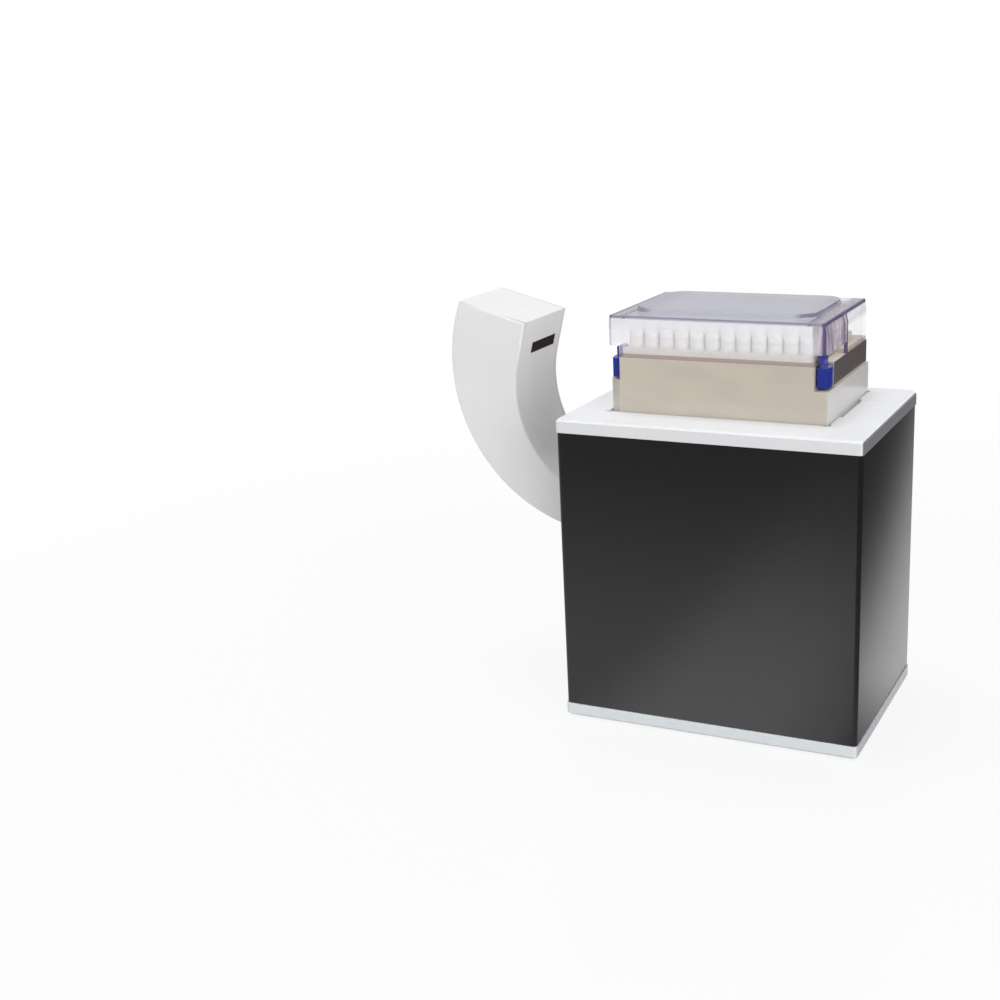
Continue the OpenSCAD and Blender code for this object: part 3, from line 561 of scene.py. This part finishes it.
@dataclass(frozen=True)
class Glass:
    """Flat glass, faintly tinted, with a few smears."""

    name: str
    colour: Colour
    alpha: float

    def material(self) -> bpy.types.Material:
        """Builds the material.

        Returns:
            The finished material.
        """
        s = Shader(self.name)
        smear = s.noise(22.0, 5.0, 0.6).step(0.5, 0.75)
        return s.finish(Base_Color=self.colour, Roughness=0.04 + smear * 0.05,
                        Alpha=self.alpha + smear * 0.05)


@dataclass(frozen=True)
class Metal:
    """Bare metal, brushed along one axis."""

    name: str
    colour: Colour
    roughness: float = 0.32
    along: Triple = (0.12, 1.0, 1.0)

    def material(self) -> bpy.types.Material:
        """Builds the material.

        Returns:
            The finished material.
        """
        s = Shader(self.name)
        lines = s.noise(0.35, 3.0, 0.6, self.along)
        base = s.blend(shaded(self.colour, 0.8), self.colour, lines)
        return s.finish(Base_Color=base, Metallic=1.0,
                        Roughness=self.roughness + (lines - 0.5) * 0.18,
                        Normal=s.bump(lines, 0.006))


@dataclass(frozen=True)
class Circuit:
    """Green circuit board: solder mask over copper tracks, with tinned pads."""

    name: str = "circuit green"
    mask: Colour = tint(24, 88, 56)
    track: Colour = tint(44, 122, 78)
    pad: Colour = tint(196, 188, 160)

    def material(self) -> bpy.types.Material:
        """Builds the material.

        Returns:
            The finished material.
        """
        s = Shader(self.name)
        x, y, z = s.place()
        bend = (s.noise(11.0, 1.0) - 0.5) * 6.0
        lanes = abs(((x + bend) * 0.55).math("FRACT") - 0.5).step(0.18, 0.24)
        lots = abs(((y + z + bend) * 0.45).math("FRACT") - 0.5).step(0.20, 0.26)
        pads = s.node("ShaderNodeTexVoronoi", {"feature": "F1"},
                      {"Vector": s.node("ShaderNodeTexCoord", out="Object"), "Scale": 260.0})
        dots = 1.0 - pads.step(0.16, 0.22)
        base = s.blend(self.mask, self.track, lanes * lots)
        return s.finish(Base_Color=s.blend(base, self.pad, dots),
                        Roughness=0.42 - dots * 0.12,
                        Normal=s.bump(lanes * lots + dots, 0.03))


@dataclass(frozen=True)
class Glow:
    """Lamp face with a faint light of its own."""

    name: str
    colour: Colour
    strength: float

    def material(self) -> bpy.types.Material:
        """Builds the material.

        Returns:
            The finished material.
        """
        s = Shader(self.name)
        grain = s.noise(0.8, 2.0)
        base = s.blend(shaded(self.colour, 0.8), self.colour, grain)
        return s.finish(Base_Color=base, Roughness=0.35, Emission_Color=self.colour,
                        Emission_Strength=self.strength)


class Finish(Enum):
    """The finishes of the reader, one for each look."""

    WRAP = GlossSheet()
    # The edge and front colours of both plates are painted shading of their end and front faces.
    TOP = WhitePlate("white top coat", face=tint(239, 240, 243), edge=tint(131, 131, 135),
                     front_shading=tint(233, 234, 236))
    BASE = WhitePlate("white base coat", face=tint(236, 241, 244), edge=tint(214, 216, 220),
                      front_shading=tint(238, 243, 246))
    ARM = Moulded("arm white", tint(244, 245, 244), roughness=0.40, grain_mm=0.5,
                  grain_depth_mm=0.010, mottle=0.035)
    COVER = Moulded("arm rear white", tint(232, 234, 232), roughness=0.46, grain_mm=0.5,
                    grain_depth_mm=0.016, mottle=0.04)
    RACK = RackPlastic("rack beige", beige=tint(210, 201, 186), dark=tint(91, 82, 83),
                       painted_plate_reflection=tint(213, 211, 208))
    DECK = Moulded("deck beige", tint(202, 193, 177), roughness=0.5, grain_mm=0.6,
                   grain_depth_mm=0.02, mottle=0.08)
    TUBE = Moulded("tube white", tint(240, 240, 236), roughness=0.34, grain_mm=0.7,
                   grain_depth_mm=0.01, mottle=0.03, coat=0.2)
    CAP = Moulded("cap white", tint(246, 247, 245), roughness=0.38, grain_mm=0.6, mottle=0.03,
                  coat=0.1)
    LATCH = Moulded("latch blue", tint(34, 52, 156), roughness=0.26, grain_mm=0.8,
                    grain_depth_mm=0.010, mottle=0.14, coat=0.45)
    LID = LidPlastic()
    GLASS = Glass("scan glass", tint(208, 230, 232), alpha=0.16)
    LENS = Glass("lens coat", tint(96, 84, 168), alpha=0.55)
    WINDOW = Moulded("window red", tint(44, 30, 30), roughness=0.34, grain_mm=2.5,
                     grain_depth_mm=0.004, mottle=0.30, gloss=0.02)
    RUBBER = Moulded("rubber", tint(40, 40, 42), roughness=0.78, grain_mm=0.5,
                     grain_depth_mm=0.05, mottle=0.15)
    BLACK = Moulded("black moulding", tint(34, 34, 37), roughness=0.40, grain_mm=0.5,
                    grain_depth_mm=0.02, mottle=0.10)
    CHIP = Moulded("chip epoxy", tint(38, 39, 42), roughness=0.50, grain_mm=0.3,
                   grain_depth_mm=0.02, mottle=0.12)
    STEEL = Metal("bright steel", tint(198, 200, 204), roughness=0.26)
    SHEET = Metal("zinc sheet", tint(170, 174, 180), roughness=0.38, along=(1.0, 0.15, 1.0))
    CLAMP = Metal("milled steel", tint(140, 144, 150), roughness=0.42, along=(1.0, 1.0, 0.12))
    BRASS = Metal("brass", tint(206, 172, 96), roughness=0.30, along=(1.0, 1.0, 0.2))
    BOARD = Circuit()
    LED = Glow("lamp chips", tint(250, 238, 176), strength=0.6)
    OPAL = MilkyPlastic("opal cover", tint(242, 243, 241), alpha=0.82, roughness=0.42,
                        haze=0.04)

    def material(self) -> bpy.types.Material:
        """Hands back this finish's material, made on first use."""
        ready = bpy.data.materials.get(self.value.name)
        return ready or self.value.material()


def revolved(profile: Sequence[tuple[float, float]], around: int) -> np.ndarray:
    """Grid of a profile carried round the Z axis.

    Point (i, j) is the i-th radius at the j-th angle, at the i-th height.

    Args:
        profile: Pairs of radius and height, from the bottom of the outside upwards.
        around: Points round the axis.

    Returns:
        Points as (rows, around, 3).
    """
    radius, height = np.array(profile, float).T
    turn = np.linspace(0.0, 2.0 * math.pi, around, endpoint=False)
    flat = np.stack([np.cos(turn), np.sin(turn)], -1)
    out = np.empty((len(radius), around, 3))
    out[..., :2] = radius[:, None, None] * flat[None]
    out[..., 2] = height[:, None]
    return out


class Surface:
    """Gathers grids of points and makes one closed mesh of them."""

    def __init__(self) -> None:
        """Starts empty."""
        self.points: list[np.ndarray] = []
        self.faces: list[tuple[int, ...]] = []
        self.total = 0

    def tube(self, grid: np.ndarray) -> "Surface":
        """Adds a grid that is closed round its second axis and capped at both ends.

        Quads join row i to row i + 1; the end rows are joined to a point at their middle.

        Args:
            grid: Points as (rows, around, 3), whose rows run along the outside's normal.

        Returns:
            This surface.
        """
        rows, around, _ = grid.shape
        start = self.total
        index = start + np.arange(rows * around).reshape(rows, around)
        after = np.roll(index, -1, axis=1)
        quads = np.stack([index[:-1], after[:-1], after[1:], index[1:]], -1).reshape(-1, 4)
        ends = grid[[0, -1]].mean(1)
        low, high = start + rows * around, start + rows * around + 1
        fans = [np.stack([np.full(around, low), after[0], index[0]], -1),
                np.stack([np.full(around, high), index[-1], after[-1]], -1)]
        self.points += [grid.reshape(-1, 3), ends]
        self.faces += quads.tolist() + np.concatenate(fans).tolist()
        self.total += rows * around + 2
        return self

    def copied(self, places: np.ndarray) -> "Surface":
        """Copies what is gathered to each place.

        Args:
            places: Shifts as (n, 3).

        Returns:
            A new surface of all the copies.
        """
        one = np.concatenate(self.points)
        many = Surface()
        many.points = [(places[:, None, :] + one[None]).reshape(-1, 3)]
        sizes = sorted({len(f) for f in self.faces})
        for size in sizes:
            group = np.array([f for f in self.faces if len(f) == size])
            shift = (np.arange(len(places)) * len(one))[:, None, None]
            many.faces += (shift + group[None]).reshape(-1, size).tolist()
        many.total = len(one) * len(places)
        return many

    def piece(self, name: str, finish: Finish, slot: str, body: str,
              nodes: Sequence[str] = (), smooth_deg: float = 40.0) -> bpy.types.Object:
        """Makes the object.

        Args:
            name: Its name.
            finish: Its finish.
            slot: Not used.
            body: The body it rides on.
            nodes: The CAD nodes it stands for.
            smooth_deg: Edges flatter than this shade smoothly.

        Returns:
            The object.
        """
        mesh = bpy.data.meshes.new(name)
        mesh.from_pydata((np.concatenate(self.points) * MM).tolist(), [], self.faces)
        return placed(name, mesh, finish, body, nodes, smooth_deg)


def placed(name: str, mesh: bpy.types.Mesh, finish: Finish, body: str,
           nodes: Sequence[str], smooth_deg: float) -> bpy.types.Object:
    """Turns a finished mesh into a piece that rides on a body.

    Args:
        name: The piece's name.
        mesh: Its mesh, in metres and in place.
        finish: Its finish.
        body: The body it rides on.
        nodes: The CAD nodes it stands for.
        smooth_deg: Edges flatter than this shade smoothly.

    Returns:
        The object.
    """
    mesh.materials.append(finish.material())
    mesh.shade_smooth()
    mesh.set_sharp_from_angle(angle=math.radians(smooth_deg))
    mesh.update()
    piece = bpy.data.objects.new(name, mesh)
    bpy.context.scene.collection.objects.link(piece)
    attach(piece, body)
    if nodes:
        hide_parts(*nodes)
    LOG.info("%s: %d faces on %s", name, len(mesh.polygons), body)
    return piece


@dataclass(frozen=True)
class Softening:
    """How the sharp edges of a moulded or folded part are rounded."""

    width: float
    steps: int = 2
    where: Callable[[np.ndarray], bool] | None = None


def softened(node: str, name: str, finish: Finish, body: str,
             softening: Softening,
             reshape: Callable[[np.ndarray], np.ndarray] | None = None) -> bpy.types.Object:
    """Stands for a CAD node with a merged copy whose outside edges are rounded.

    An edge is rounded where its two faces turn by more than 30 degrees outwards and, if
    softening.where is given, where that says so for the edge's middle in millimetres.

    Args:
        node: The CAD node.
        name: The piece's name.
        finish: Its finish.
        body: The body it rides on.
        softening: Width and steps of the rounding.
        reshape: Moves the copy's points, given and handed back in millimetres.

    Returns:
        The piece.
    """
    work = bmesh.new()
    work.from_mesh(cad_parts[node].data)
    bmesh.ops.remove_doubles(work, verts=work.verts, dist=2e-6)
    bmesh.ops.dissolve_limit(work, angle_limit=math.radians(0.4), verts=work.verts,
                             edges=work.edges)
    mesh = bpy.data.meshes.new(name)
    if reshape:
        work.to_mesh(mesh)
        points = np.empty(len(mesh.vertices) * 3)
        mesh.vertices.foreach_get("co", points)
        moved = reshape(points.reshape(-1, 3) / MM) * MM
        mesh.vertices.foreach_set("co", moved.ravel())
        work.clear()
        work.from_mesh(mesh)
    weight = work.edges.layers.float.new("bevel_weight_edge")
    sharp = math.radians(30.0)
    for edge in work.edges:
        if len(edge.link_faces) == 2 and edge.is_convex and edge.calc_face_angle() > sharp:
            middle = np.array((edge.verts[0].co + edge.verts[1].co) / 2) / MM
            edge[weight] = 1.0 if softening.where is None or softening.where(middle) else 0.0
    work.to_mesh(mesh)
    work.free()
    for extra in ("custom_normal", "sharp_face"):
        if extra in mesh.attributes:
            mesh.attributes.remove(mesh.attributes[extra])
    piece = placed(name, mesh, finish, body, [node], 35.0)
    bevel = piece.modifiers.new("soft edges", "BEVEL")
    bevel.limit_method = "WEIGHT"
    bevel.width = softening.width * MM
    bevel.segments = softening.steps
    bevel.harden_normals = True
    return piece


def dressed(finish: Finish, *nodes: str) -> None:
    """Gives CAD nodes whose shape is right a finish in their material slots.

    Args:
        finish: The finish.
        nodes: Names of the CAD nodes.
    """
    for name in nodes:
        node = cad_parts[name]
        if not node.material_slots:
            node.data.materials.append(finish.material())
        for slot in node.material_slots:
            slot.material = finish.material()
        LOG.info("%s: dressed in %s", name, finish.value.name)


@dataclass
class Housing:
    """Black box between two white plates, with its feet, posts and screws."""

    plate_edge: float = 0.35
    wrap_edge: float = 0.30
    rear_margin: float = 3.0
    base_margins: tuple[float, float] = (17.5, 7.0)
    foot_r: float = 7.0
    foot_edge: float = 0.5

    def build(self) -> None:
        """Builds and dresses the pieces; the rear wall's and hidden edges stay sharp."""
        rear = box_mm("housing_wrap")[1][1] - self.rear_margin
        softened("housing_wrap", "wrap_skin", Finish.WRAP, "reader",
                 Softening(self.wrap_edge, 2, lambda p: p[1] < rear))
        under = box_mm("top_plate")[0][2] + 0.5
        softened("top_plate", "top_plate_skin", Finish.TOP, "reader",
                 Softening(self.plate_edge, 2, lambda p: p[2] > under))
        inside = box_mm("base_plate")[1][:2] - self.base_margins
        softened("base_plate", "base_plate_skin", Finish.BASE, "reader",
                 Softening(self.plate_edge, 2, lambda p: bool((np.abs(p[:2]) > inside).any())))
        self.feet()
        dressed(Finish.SHEET, "corner_posts")
        dressed(Finish.STEEL, "base_screws")
        dressed(Finish.GLASS, "scan_glass")
        dressed(Finish.RUBBER, "glass_gasket")

    def feet(self) -> None:
        """Rubber feet: discs with a rounded lower edge and a shallow dish under them."""
        low, high = box_mm("rubber_feet")
        r, e, h = self.foot_r, self.foot_edge, high[2] - low[2]
        bend = np.linspace(0.0, math.pi / 2, 5)
        profile = [(r * 0.3, 0.3), (r * 0.62, 0.22), (r - e - 0.8, 0.0)]
        profile += [(r - e + e * math.sin(a), e - e * math.cos(a)) for a in bend]
        profile += [(r, h)]
        x, y = high[0] - r, high[1] - r
        places = np.array([[sx * x, sy * y, low[2]] for sx in (-1, 1) for sy in (-1, 1)])
        Surface().tube(revolved(profile, 40)).copied(places).piece(
            "feet", Finish.RUBBER, "rubber", "reader", ["rubber_feet"])


@dataclass
class Inside:
    """Camera, lamps and main board, seen through the glass when the rack is off."""

    dome_rise: float = 1.1
    lens_points: int = 144
    grip_ribs: int = 36
    rib_depth: float = 0.012

    def build(self) -> None:
        """Builds and dresses the pieces."""
        dressed(Finish.BLACK, "camera_body", "power_socket")
        self.lens()
        dressed(Finish.SHEET, "camera_stand", "lamp_brackets", "usb_socket")
        dressed(Finish.STEEL, "camera_screws", "board_screws")
        dressed(Finish.BOARD, "lamp_board_left", "lamp_board_right", "main_board")
        dressed(Finish.LED, "lamp_leds")
        dressed(Finish.OPAL, "lamp_diffuser_left", "lamp_diffuser_right")
        dressed(Finish.CHIP, "board_chips")
        dressed(Finish.BRASS, "board_spacers")

    def lens(self) -> None:
        """Lens barrel with a knurled ring, and a domed coated front lens.

        The barrel's radius is a step profile, and rows 4 and 5 of it are the grip, where the
        radius is narrowed by a share that follows a cosine of the angle. The front lens's
        height falls with the square of its radius.
        """
        low, high = box_mm("camera_lens")
        x, y = (low[:2] + high[:2]) / 2
        r, z, top = (high[0] - low[0]) / 2, low[2], high[2] - low[2]
        profile = [(5.0, 0.0), (r - 2, 0.0), (r - 2, 3.0), (r - 0.2, 3.0), (r - 0.1, 3.3),
                   (r - 0.1, 10.7), (r - 0.2, 11.0), (r - 1.5, 11.0), (r - 1.5, 13.0),
                   (r - 0.1, 13.0), (r - 0.1, top - 0.3), (r - 0.3, top), (r - 2, top),
                   (r - 2.6, top - 1.2), (r - 4, top - 5), (8.0, 17.2), (8.0, 14.2), (5.0, 14.0)]
        grid = revolved(profile, self.lens_points)
        turn = np.linspace(0.0, 2.0 * math.pi, self.lens_points, endpoint=False)
        ribs = 1.0 - self.rib_depth * (0.5 + 0.5 * np.cos(self.grip_ribs * turn))
        grid[4:6, :, :2] *= ribs[None, :, None]
        Surface().tube(grid + np.array([x, y, z])).piece(
            "lens_barrel", Finish.BLACK, "dark_case", "reader", ["camera_lens"])
        glass_low, glass_high = box_mm("lens_front")
        rim = (glass_high[0] - glass_low[0]) / 2
        radii = np.linspace(rim, 0.6, 9)
        dome = [(rim - 0.4, 0.0), (rim, 0.3), (rim, 1.6)]
        dome += [(q, 1.8 + self.dome_rise * (1.0 - (q / rim) ** 2)) for q in radii[1:]]
        Surface().tube(revolved(dome, 48) + np.array([x, y, glass_low[2]])).piece(
            "lens_glass", Finish.LENS, "lens", "reader", ["lens_front"])


@dataclass
class Arm:
    """Curved side-scanning arm: white shell, rear cover, dark window, works inside."""

    front_round: float = 1.7
    rear_round: float = 0.8

    def build(self) -> None:
        """Builds and dresses the pieces."""
        front = box_mm("arm_shell")[0][1]
        softened("arm_shell", "arm_skin", Finish.ARM, "reader",
                 Softening(self.front_round, 4, lambda p: p[1] < front + 0.05))
        rear = box_mm("arm_cover")[1][1]
        softened("arm_cover", "arm_rear_skin", Finish.COVER, "reader",
                 Softening(self.rear_round, 3, lambda p: p[1] > rear - 0.05))
        dressed(Finish.WINDOW, "arm_window")
        dressed(Finish.STEEL, "arm_cover_screws", "arm_bolts")
        dressed(Finish.CLAMP, "arm_clamp")
        dressed(Finish.RUBBER, "arm_grommet")
        dressed(Finish.BLACK, "scan_engine")
        dressed(Finish.LENS, "engine_lens")
        dressed(Finish.BOARD, "arm_board")
        dressed(Finish.BRASS, "arm_board_spacers")


@dataclass
class Rack:
    """Beige rack with its tubes, blue latches and clear lid."""

    frame_round: float = 0.5
    latch_round: float = 0.6
    stem_h: float = 6.4
    stem_half: float = 3.6
    stem_depths: tuple[float, float] = (0.6, 5.9)
    stem_widening: float = 1.75
    lid_round: float = 0.5
    columns: int = 12
    rows: int = 8
    pitch: float = 9.0
    tube_r: float = 3.7
    collar_r: float = 4.2
    cap_r: float = 4.3
    cap_flute: float = 0.025
    tube_points: int = 16
    cap_points: int = 20

    def broad_stem(self, side: str) -> Callable[[np.ndarray], np.ndarray]:
        """Makes the function that widens a latch's stem above its pad.

        Distances from the latch's middle along Y are multiplied, and the nose's tip keeps
        its width, so that the nose tapers into its slot.

        Args:
            side: Which latch.

        Returns:
            The function, from points to moved points.
        """
        low, high = box_mm(f"latch_{side}")
        middle = sum(corner[0] for corner in box_mm("rack_frame")) / 2
        outer = max(abs(low[0] - middle), abs(high[0] - middle))
        y = (low[1] + high[1]) / 2

        def moved(points: np.ndarray) -> np.ndarray:
            """Moves the stem's points only.

            Args:
                points: Points as (n, 3).

            Returns:
                A moved copy of them.
            """
            across = points[:, 1] - y
            depth = outer - np.abs(points[:, 0] - middle)
            stem = (points[:, 2] > high[2] - self.stem_h - 0.05) \
                & (np.abs(across) < self.stem_half) \
                & (depth > self.stem_depths[0]) & (depth < self.stem_depths[1])
            out = points.copy()
            out[stem, 1] = y + across[stem] * self.stem_widening
            return out

        return moved

    def places(self) -> np.ndarray:
        """Middles of the tubes: a grid of the pitch, centred on the tubes' box.

        Returns:
            Points as (tubes, 3), all at height 0.
        """
        low, high = box_mm("tubes")
        middle = (low + high) / 2
        x, y = (centre + (np.arange(count) - (count - 1) / 2) * self.pitch
                for centre, count in ((middle[0], self.columns), (middle[1], self.rows)))
        grid = np.stack(np.meshgrid(x, y, indexing="ij"), -1).reshape(-1, 2)
        return np.concatenate([grid, np.zeros((len(grid), 1))], 1)

    def build(self) -> None:
        """Builds and dresses the pieces."""
        softened("rack_frame", "rack_shell", Finish.RACK, "rack",
                 Softening(self.frame_round, 3))
        dressed(Finish.DECK, "rack_deck", "rack_grid")
        dressed(Finish.STEEL, "latch_pins")
        self.tubes()
        for side in ("left", "right"):
            softened(f"latch_{side}", f"latch_{side}_skin", Finish.LATCH,
                     f"{side}_latch", Softening(self.latch_round, 3), self.broad_stem(side))
        lid = softened("rack_lid", "lid_skin", Finish.LID, "lid",
                       Softening(self.lid_round, 2))
        lid.visible_shadow = lid.visible_diffuse = False

    def tubes(self) -> None:
        """Tubes with a cone foot and a collar, and ribbed caps with a dished top."""
        foot, _ = box_mm("tubes")
        cap_low, cap_high = box_mm("tube_caps")
        deck = box_mm("rack_deck")[1][2] - foot[2]
        body = [(self.tube_r - 0.9, 0.0), (self.tube_r - 0.5, 0.1), (self.tube_r, 1.0),
                (self.tube_r, deck + 0.05), (self.collar_r, deck + 0.05),
                (self.collar_r, cap_low[2] - foot[2])]
        base = self.places()
        Surface().tube(revolved(body, self.tube_points)).copied(base + [0, 0, foot[2]]).piece(
            "tube_bodies", Finish.TUBE, "tube_white", "rack", ["tubes"], 50.0)
        h = cap_high[2] - cap_low[2]
        cap = [(self.cap_r - 0.5, 0.0), (self.cap_r, 0.35), (self.cap_r, h - 0.8),
               (self.cap_r - 0.25, h - 0.2), (self.cap_r - 0.8, h), (2.5, h), (2.1, h - 0.3),
               (2.0, h - 3.5)]
        grid = revolved(cap, self.cap_points)
        flute = 1.0 - self.cap_flute * (np.arange(self.cap_points) % 2)
        grid[1:3, :, :2] *= flute[None, :, None]
        Surface().tube(grid).copied(base + [0, 0, cap_low[2]]).piece(
            "caps", Finish.CAP, "cap_white", "rack", ["tube_caps"])


@dataclass
class Stage:
    """Pale floor, white surround and plain soft light.

    In gloss the floor shows a glow at the box's right and one before it, each fading with
    the distance from the box, over a low level that is lower at the right. The right glow
    grows rearwards from its front share, the front glow loses some towards both sides, and
    the two change over within the corner's width.
    """

    floor_z: float
    half: float = 4000.0
    floor_grey: float = 0.72
    least_white: float = 0.86
    far: Fade = (250.0, 900.0)
    middle_x: float = -5.0
    sideward: Fade = (25.0, 100.0)
    rearward: Fade = (-60.0, 80.0)
    right_glow: float = 0.45
    right_reach: float = 68.0
    front_glow: float = 0.66
    front_reach: float = 380.0
    corner: float = 20.0
    rear_gain: float = 1.2
    front_share: float = 0.35
    side_loss: float = 0.55
    low_glow: float = 0.10
    low_loss: float = 0.06
    sheen: Colour = (0.84, 0.84, 0.85)
    sheen_roughness: float = 0.16
    ambient: float = 0.53
    surround_seen_in_gloss: float = 0.4

    def build(self) -> None:
        """Builds the floor, the surround and the lamps."""
        self.floor()
        self.surround()
        self.lamp("key", (-0.08, 0.02, 0.44), 40.0)
        self.lamp("fill", (0.40, -0.36, 0.03), 60.0)

    def floor(self) -> None:
        """Floor that shows white to the camera, keeps soft shadows, and glows in gloss."""
        h = self.half
        corners = np.array([[-h, -h], [h, -h], [h, h], [-h, h]])
        points = np.concatenate([corners, np.full((4, 1), self.floor_z)], 1) * MM
        mesh = bpy.data.meshes.new("floor")
        mesh.from_pydata(points.tolist(), [], [(0, 1, 2, 3)])
        mesh.materials.append(self.floor_finish())
        floor = bpy.data.objects.new("floor", mesh)
        bpy.context.scene.collection.objects.link(floor)

    def glow(self, x: Value, y: Value) -> Value:
        """How bright the floor looks in gloss: two bell curves over a low level.

        Args:
            x: Place along X on the floor.
            y: Place along Y on the floor.

        Returns:
            The strength of the glow.
        """
        side_x = spans_mm("housing_wrap")[0][1]
        front_y = spans_mm("top_plate")[1][0]
        beside = x.step(side_x - self.corner, side_x)
        behind = y.step(*self.rearward) * self.rear_gain + self.front_share
        across = 1.0 - abs(x - self.middle_x).step(*self.sideward) * self.side_loss
        right = (x - side_x).math("MAXIMUM", 0.0)
        front = (front_y - y).math("MAXIMUM", 0.0)
        return self.right_glow * beside * behind * self.fading(right, self.right_reach) \
            + self.front_glow * across * self.fading(front, self.front_reach) * (1.0 - beside) \
            + self.low_glow - beside * self.low_loss

    def floor_finish(self) -> bpy.types.Material:
        """White to the camera, grey to light, and a glow to gloss, told apart by their rays.

        Returns:
            The finished material.
        """
        s = Shader("floor")
        x, y, _ = s.place()
        reach = (x * x + y * y).math("SQRT").step(*self.far)
        white = s.node("ShaderNodeEmission", None, {"Strength": 1.0, "Color": WHITE})
        mirror = s.node("ShaderNodeEmission", None,
                        {"Strength": self.glow(x, y), "Color": WHITE})
        lit = s.node("ShaderNodeBsdfPrincipled", None,
                     {"Base Color": (*self.sheen, 1.0), "Roughness": self.sheen_roughness})
        dim = s.node("ShaderNodeBsdfDiffuse", None, {"Color": (self.floor_grey,) * 3 + (1.0,)})
        clear = s.mix(reach * (1.0 - self.least_white) + self.least_white, lit, white)
        straight = s.mix(s.ray("Camera").math("MAXIMUM", s.ray("Transmission")), dim, clear)
        return s.output(s.mix(s.ray("Glossy"), straight, mirror))

    @staticmethod
    def fading(distance: Value, reach: float) -> Value:
        """Bell curve of a distance: e to the minus square of distance over reach."""
        share = distance * (1.0 / reach)
        return (-(share * share)).math("EXPONENT")

    def surround(self) -> None:
        """White surround for camera and transmitted rays, a grey one for gloss and light."""
        s = Shader("surround", "World")
        seen = s.ray("Camera").math("MAXIMUM", s.ray("Transmission"))
        level = seen.math("MAXIMUM", s.ray("Glossy") * self.surround_seen_in_gloss)
        bpy.context.scene.world = s.output(
            s.node("ShaderNodeBackground", None,
                   {"Color": WHITE, "Strength": level.math("MAXIMUM", self.ambient)}))

    def lamp(self, name: str, towards: Triple, angle: float) -> None:
        """Adds a distant lamp.

        Args:
            name: Its name.
            towards: Direction to the lamp, as long as the light level on a face square to it.
            angle: Its width in the sky, in degrees.
        """
        way = Vector(towards)
        light = bpy.data.lights.new(name, "SUN")
        light.energy = math.pi * way.length
        light.angle = math.radians(angle)
        lamp = bpy.data.objects.new(name, light)
        lamp.rotation_euler = way.to_track_quat("Z", "Y").to_euler()
        lamp.location = way
        bpy.context.scene.collection.objects.link(lamp)


@dataclass
class PhotoView:
    """Camera at the photograph's place, angle and framing.

    The angles are in radians, the focal length is a share of the sensor's width, and the
    shift is in widths of the picture.
    """

    place: Triple = (268.196, -784.365, 371.677)
    yaw: float = 0.435155
    pitch: float = 0.303396
    roll: float = 0.036014
    focal_share: float = 1.483995
    shift: tuple[float, float] = (-0.09, 0.02)

    def build(self) -> None:
        """Adds the camera; its image axes come from yaw, pitch and then roll."""
        ahead = np.array([-math.sin(self.yaw) * math.cos(self.pitch),
                          math.cos(self.yaw) * math.cos(self.pitch), -math.sin(self.pitch)])
        right = np.array([math.cos(self.yaw), math.sin(self.yaw), 0.0])
        down = np.cross(ahead, right)
        across = math.cos(self.roll) * right + math.sin(self.roll) * down
        below = -math.sin(self.roll) * right + math.cos(self.roll) * down
        lens = bpy.data.cameras.new("photo_view")
        lens.sensor_width = 36.0
        lens.lens = 36.0 * self.focal_share
        lens.shift_x, lens.shift_y = self.shift
        lens.clip_end = 50.0
        lens.dof.use_dof = False
        camera = bpy.data.objects.new("photo_view", lens)
        turn = Matrix((across, -below, -ahead)).transposed().to_4x4()
        camera.matrix_world = Matrix.Translation(Vector(self.place) * MM) @ turn
        bpy.context.scene.collection.objects.link(camera)
        bpy.context.scene.camera = camera


def main() -> None:
    """Builds the view, the stage and every sub-assembly."""
    logging.basicConfig(level=logging.INFO, format="%(name)s: %(message)s")
    bpy.context.scene.view_settings.view_transform = "Standard"
    PhotoView().build()
    Stage(floor_z=float(CAD_BOX[0][2]) / MM).build()
    for part in (Housing(), Inside(), Arm(), Rack()):
        part.build()
        LOG.info("%s done", type(part).__name__)


if __name__ == "__main__":
    main()
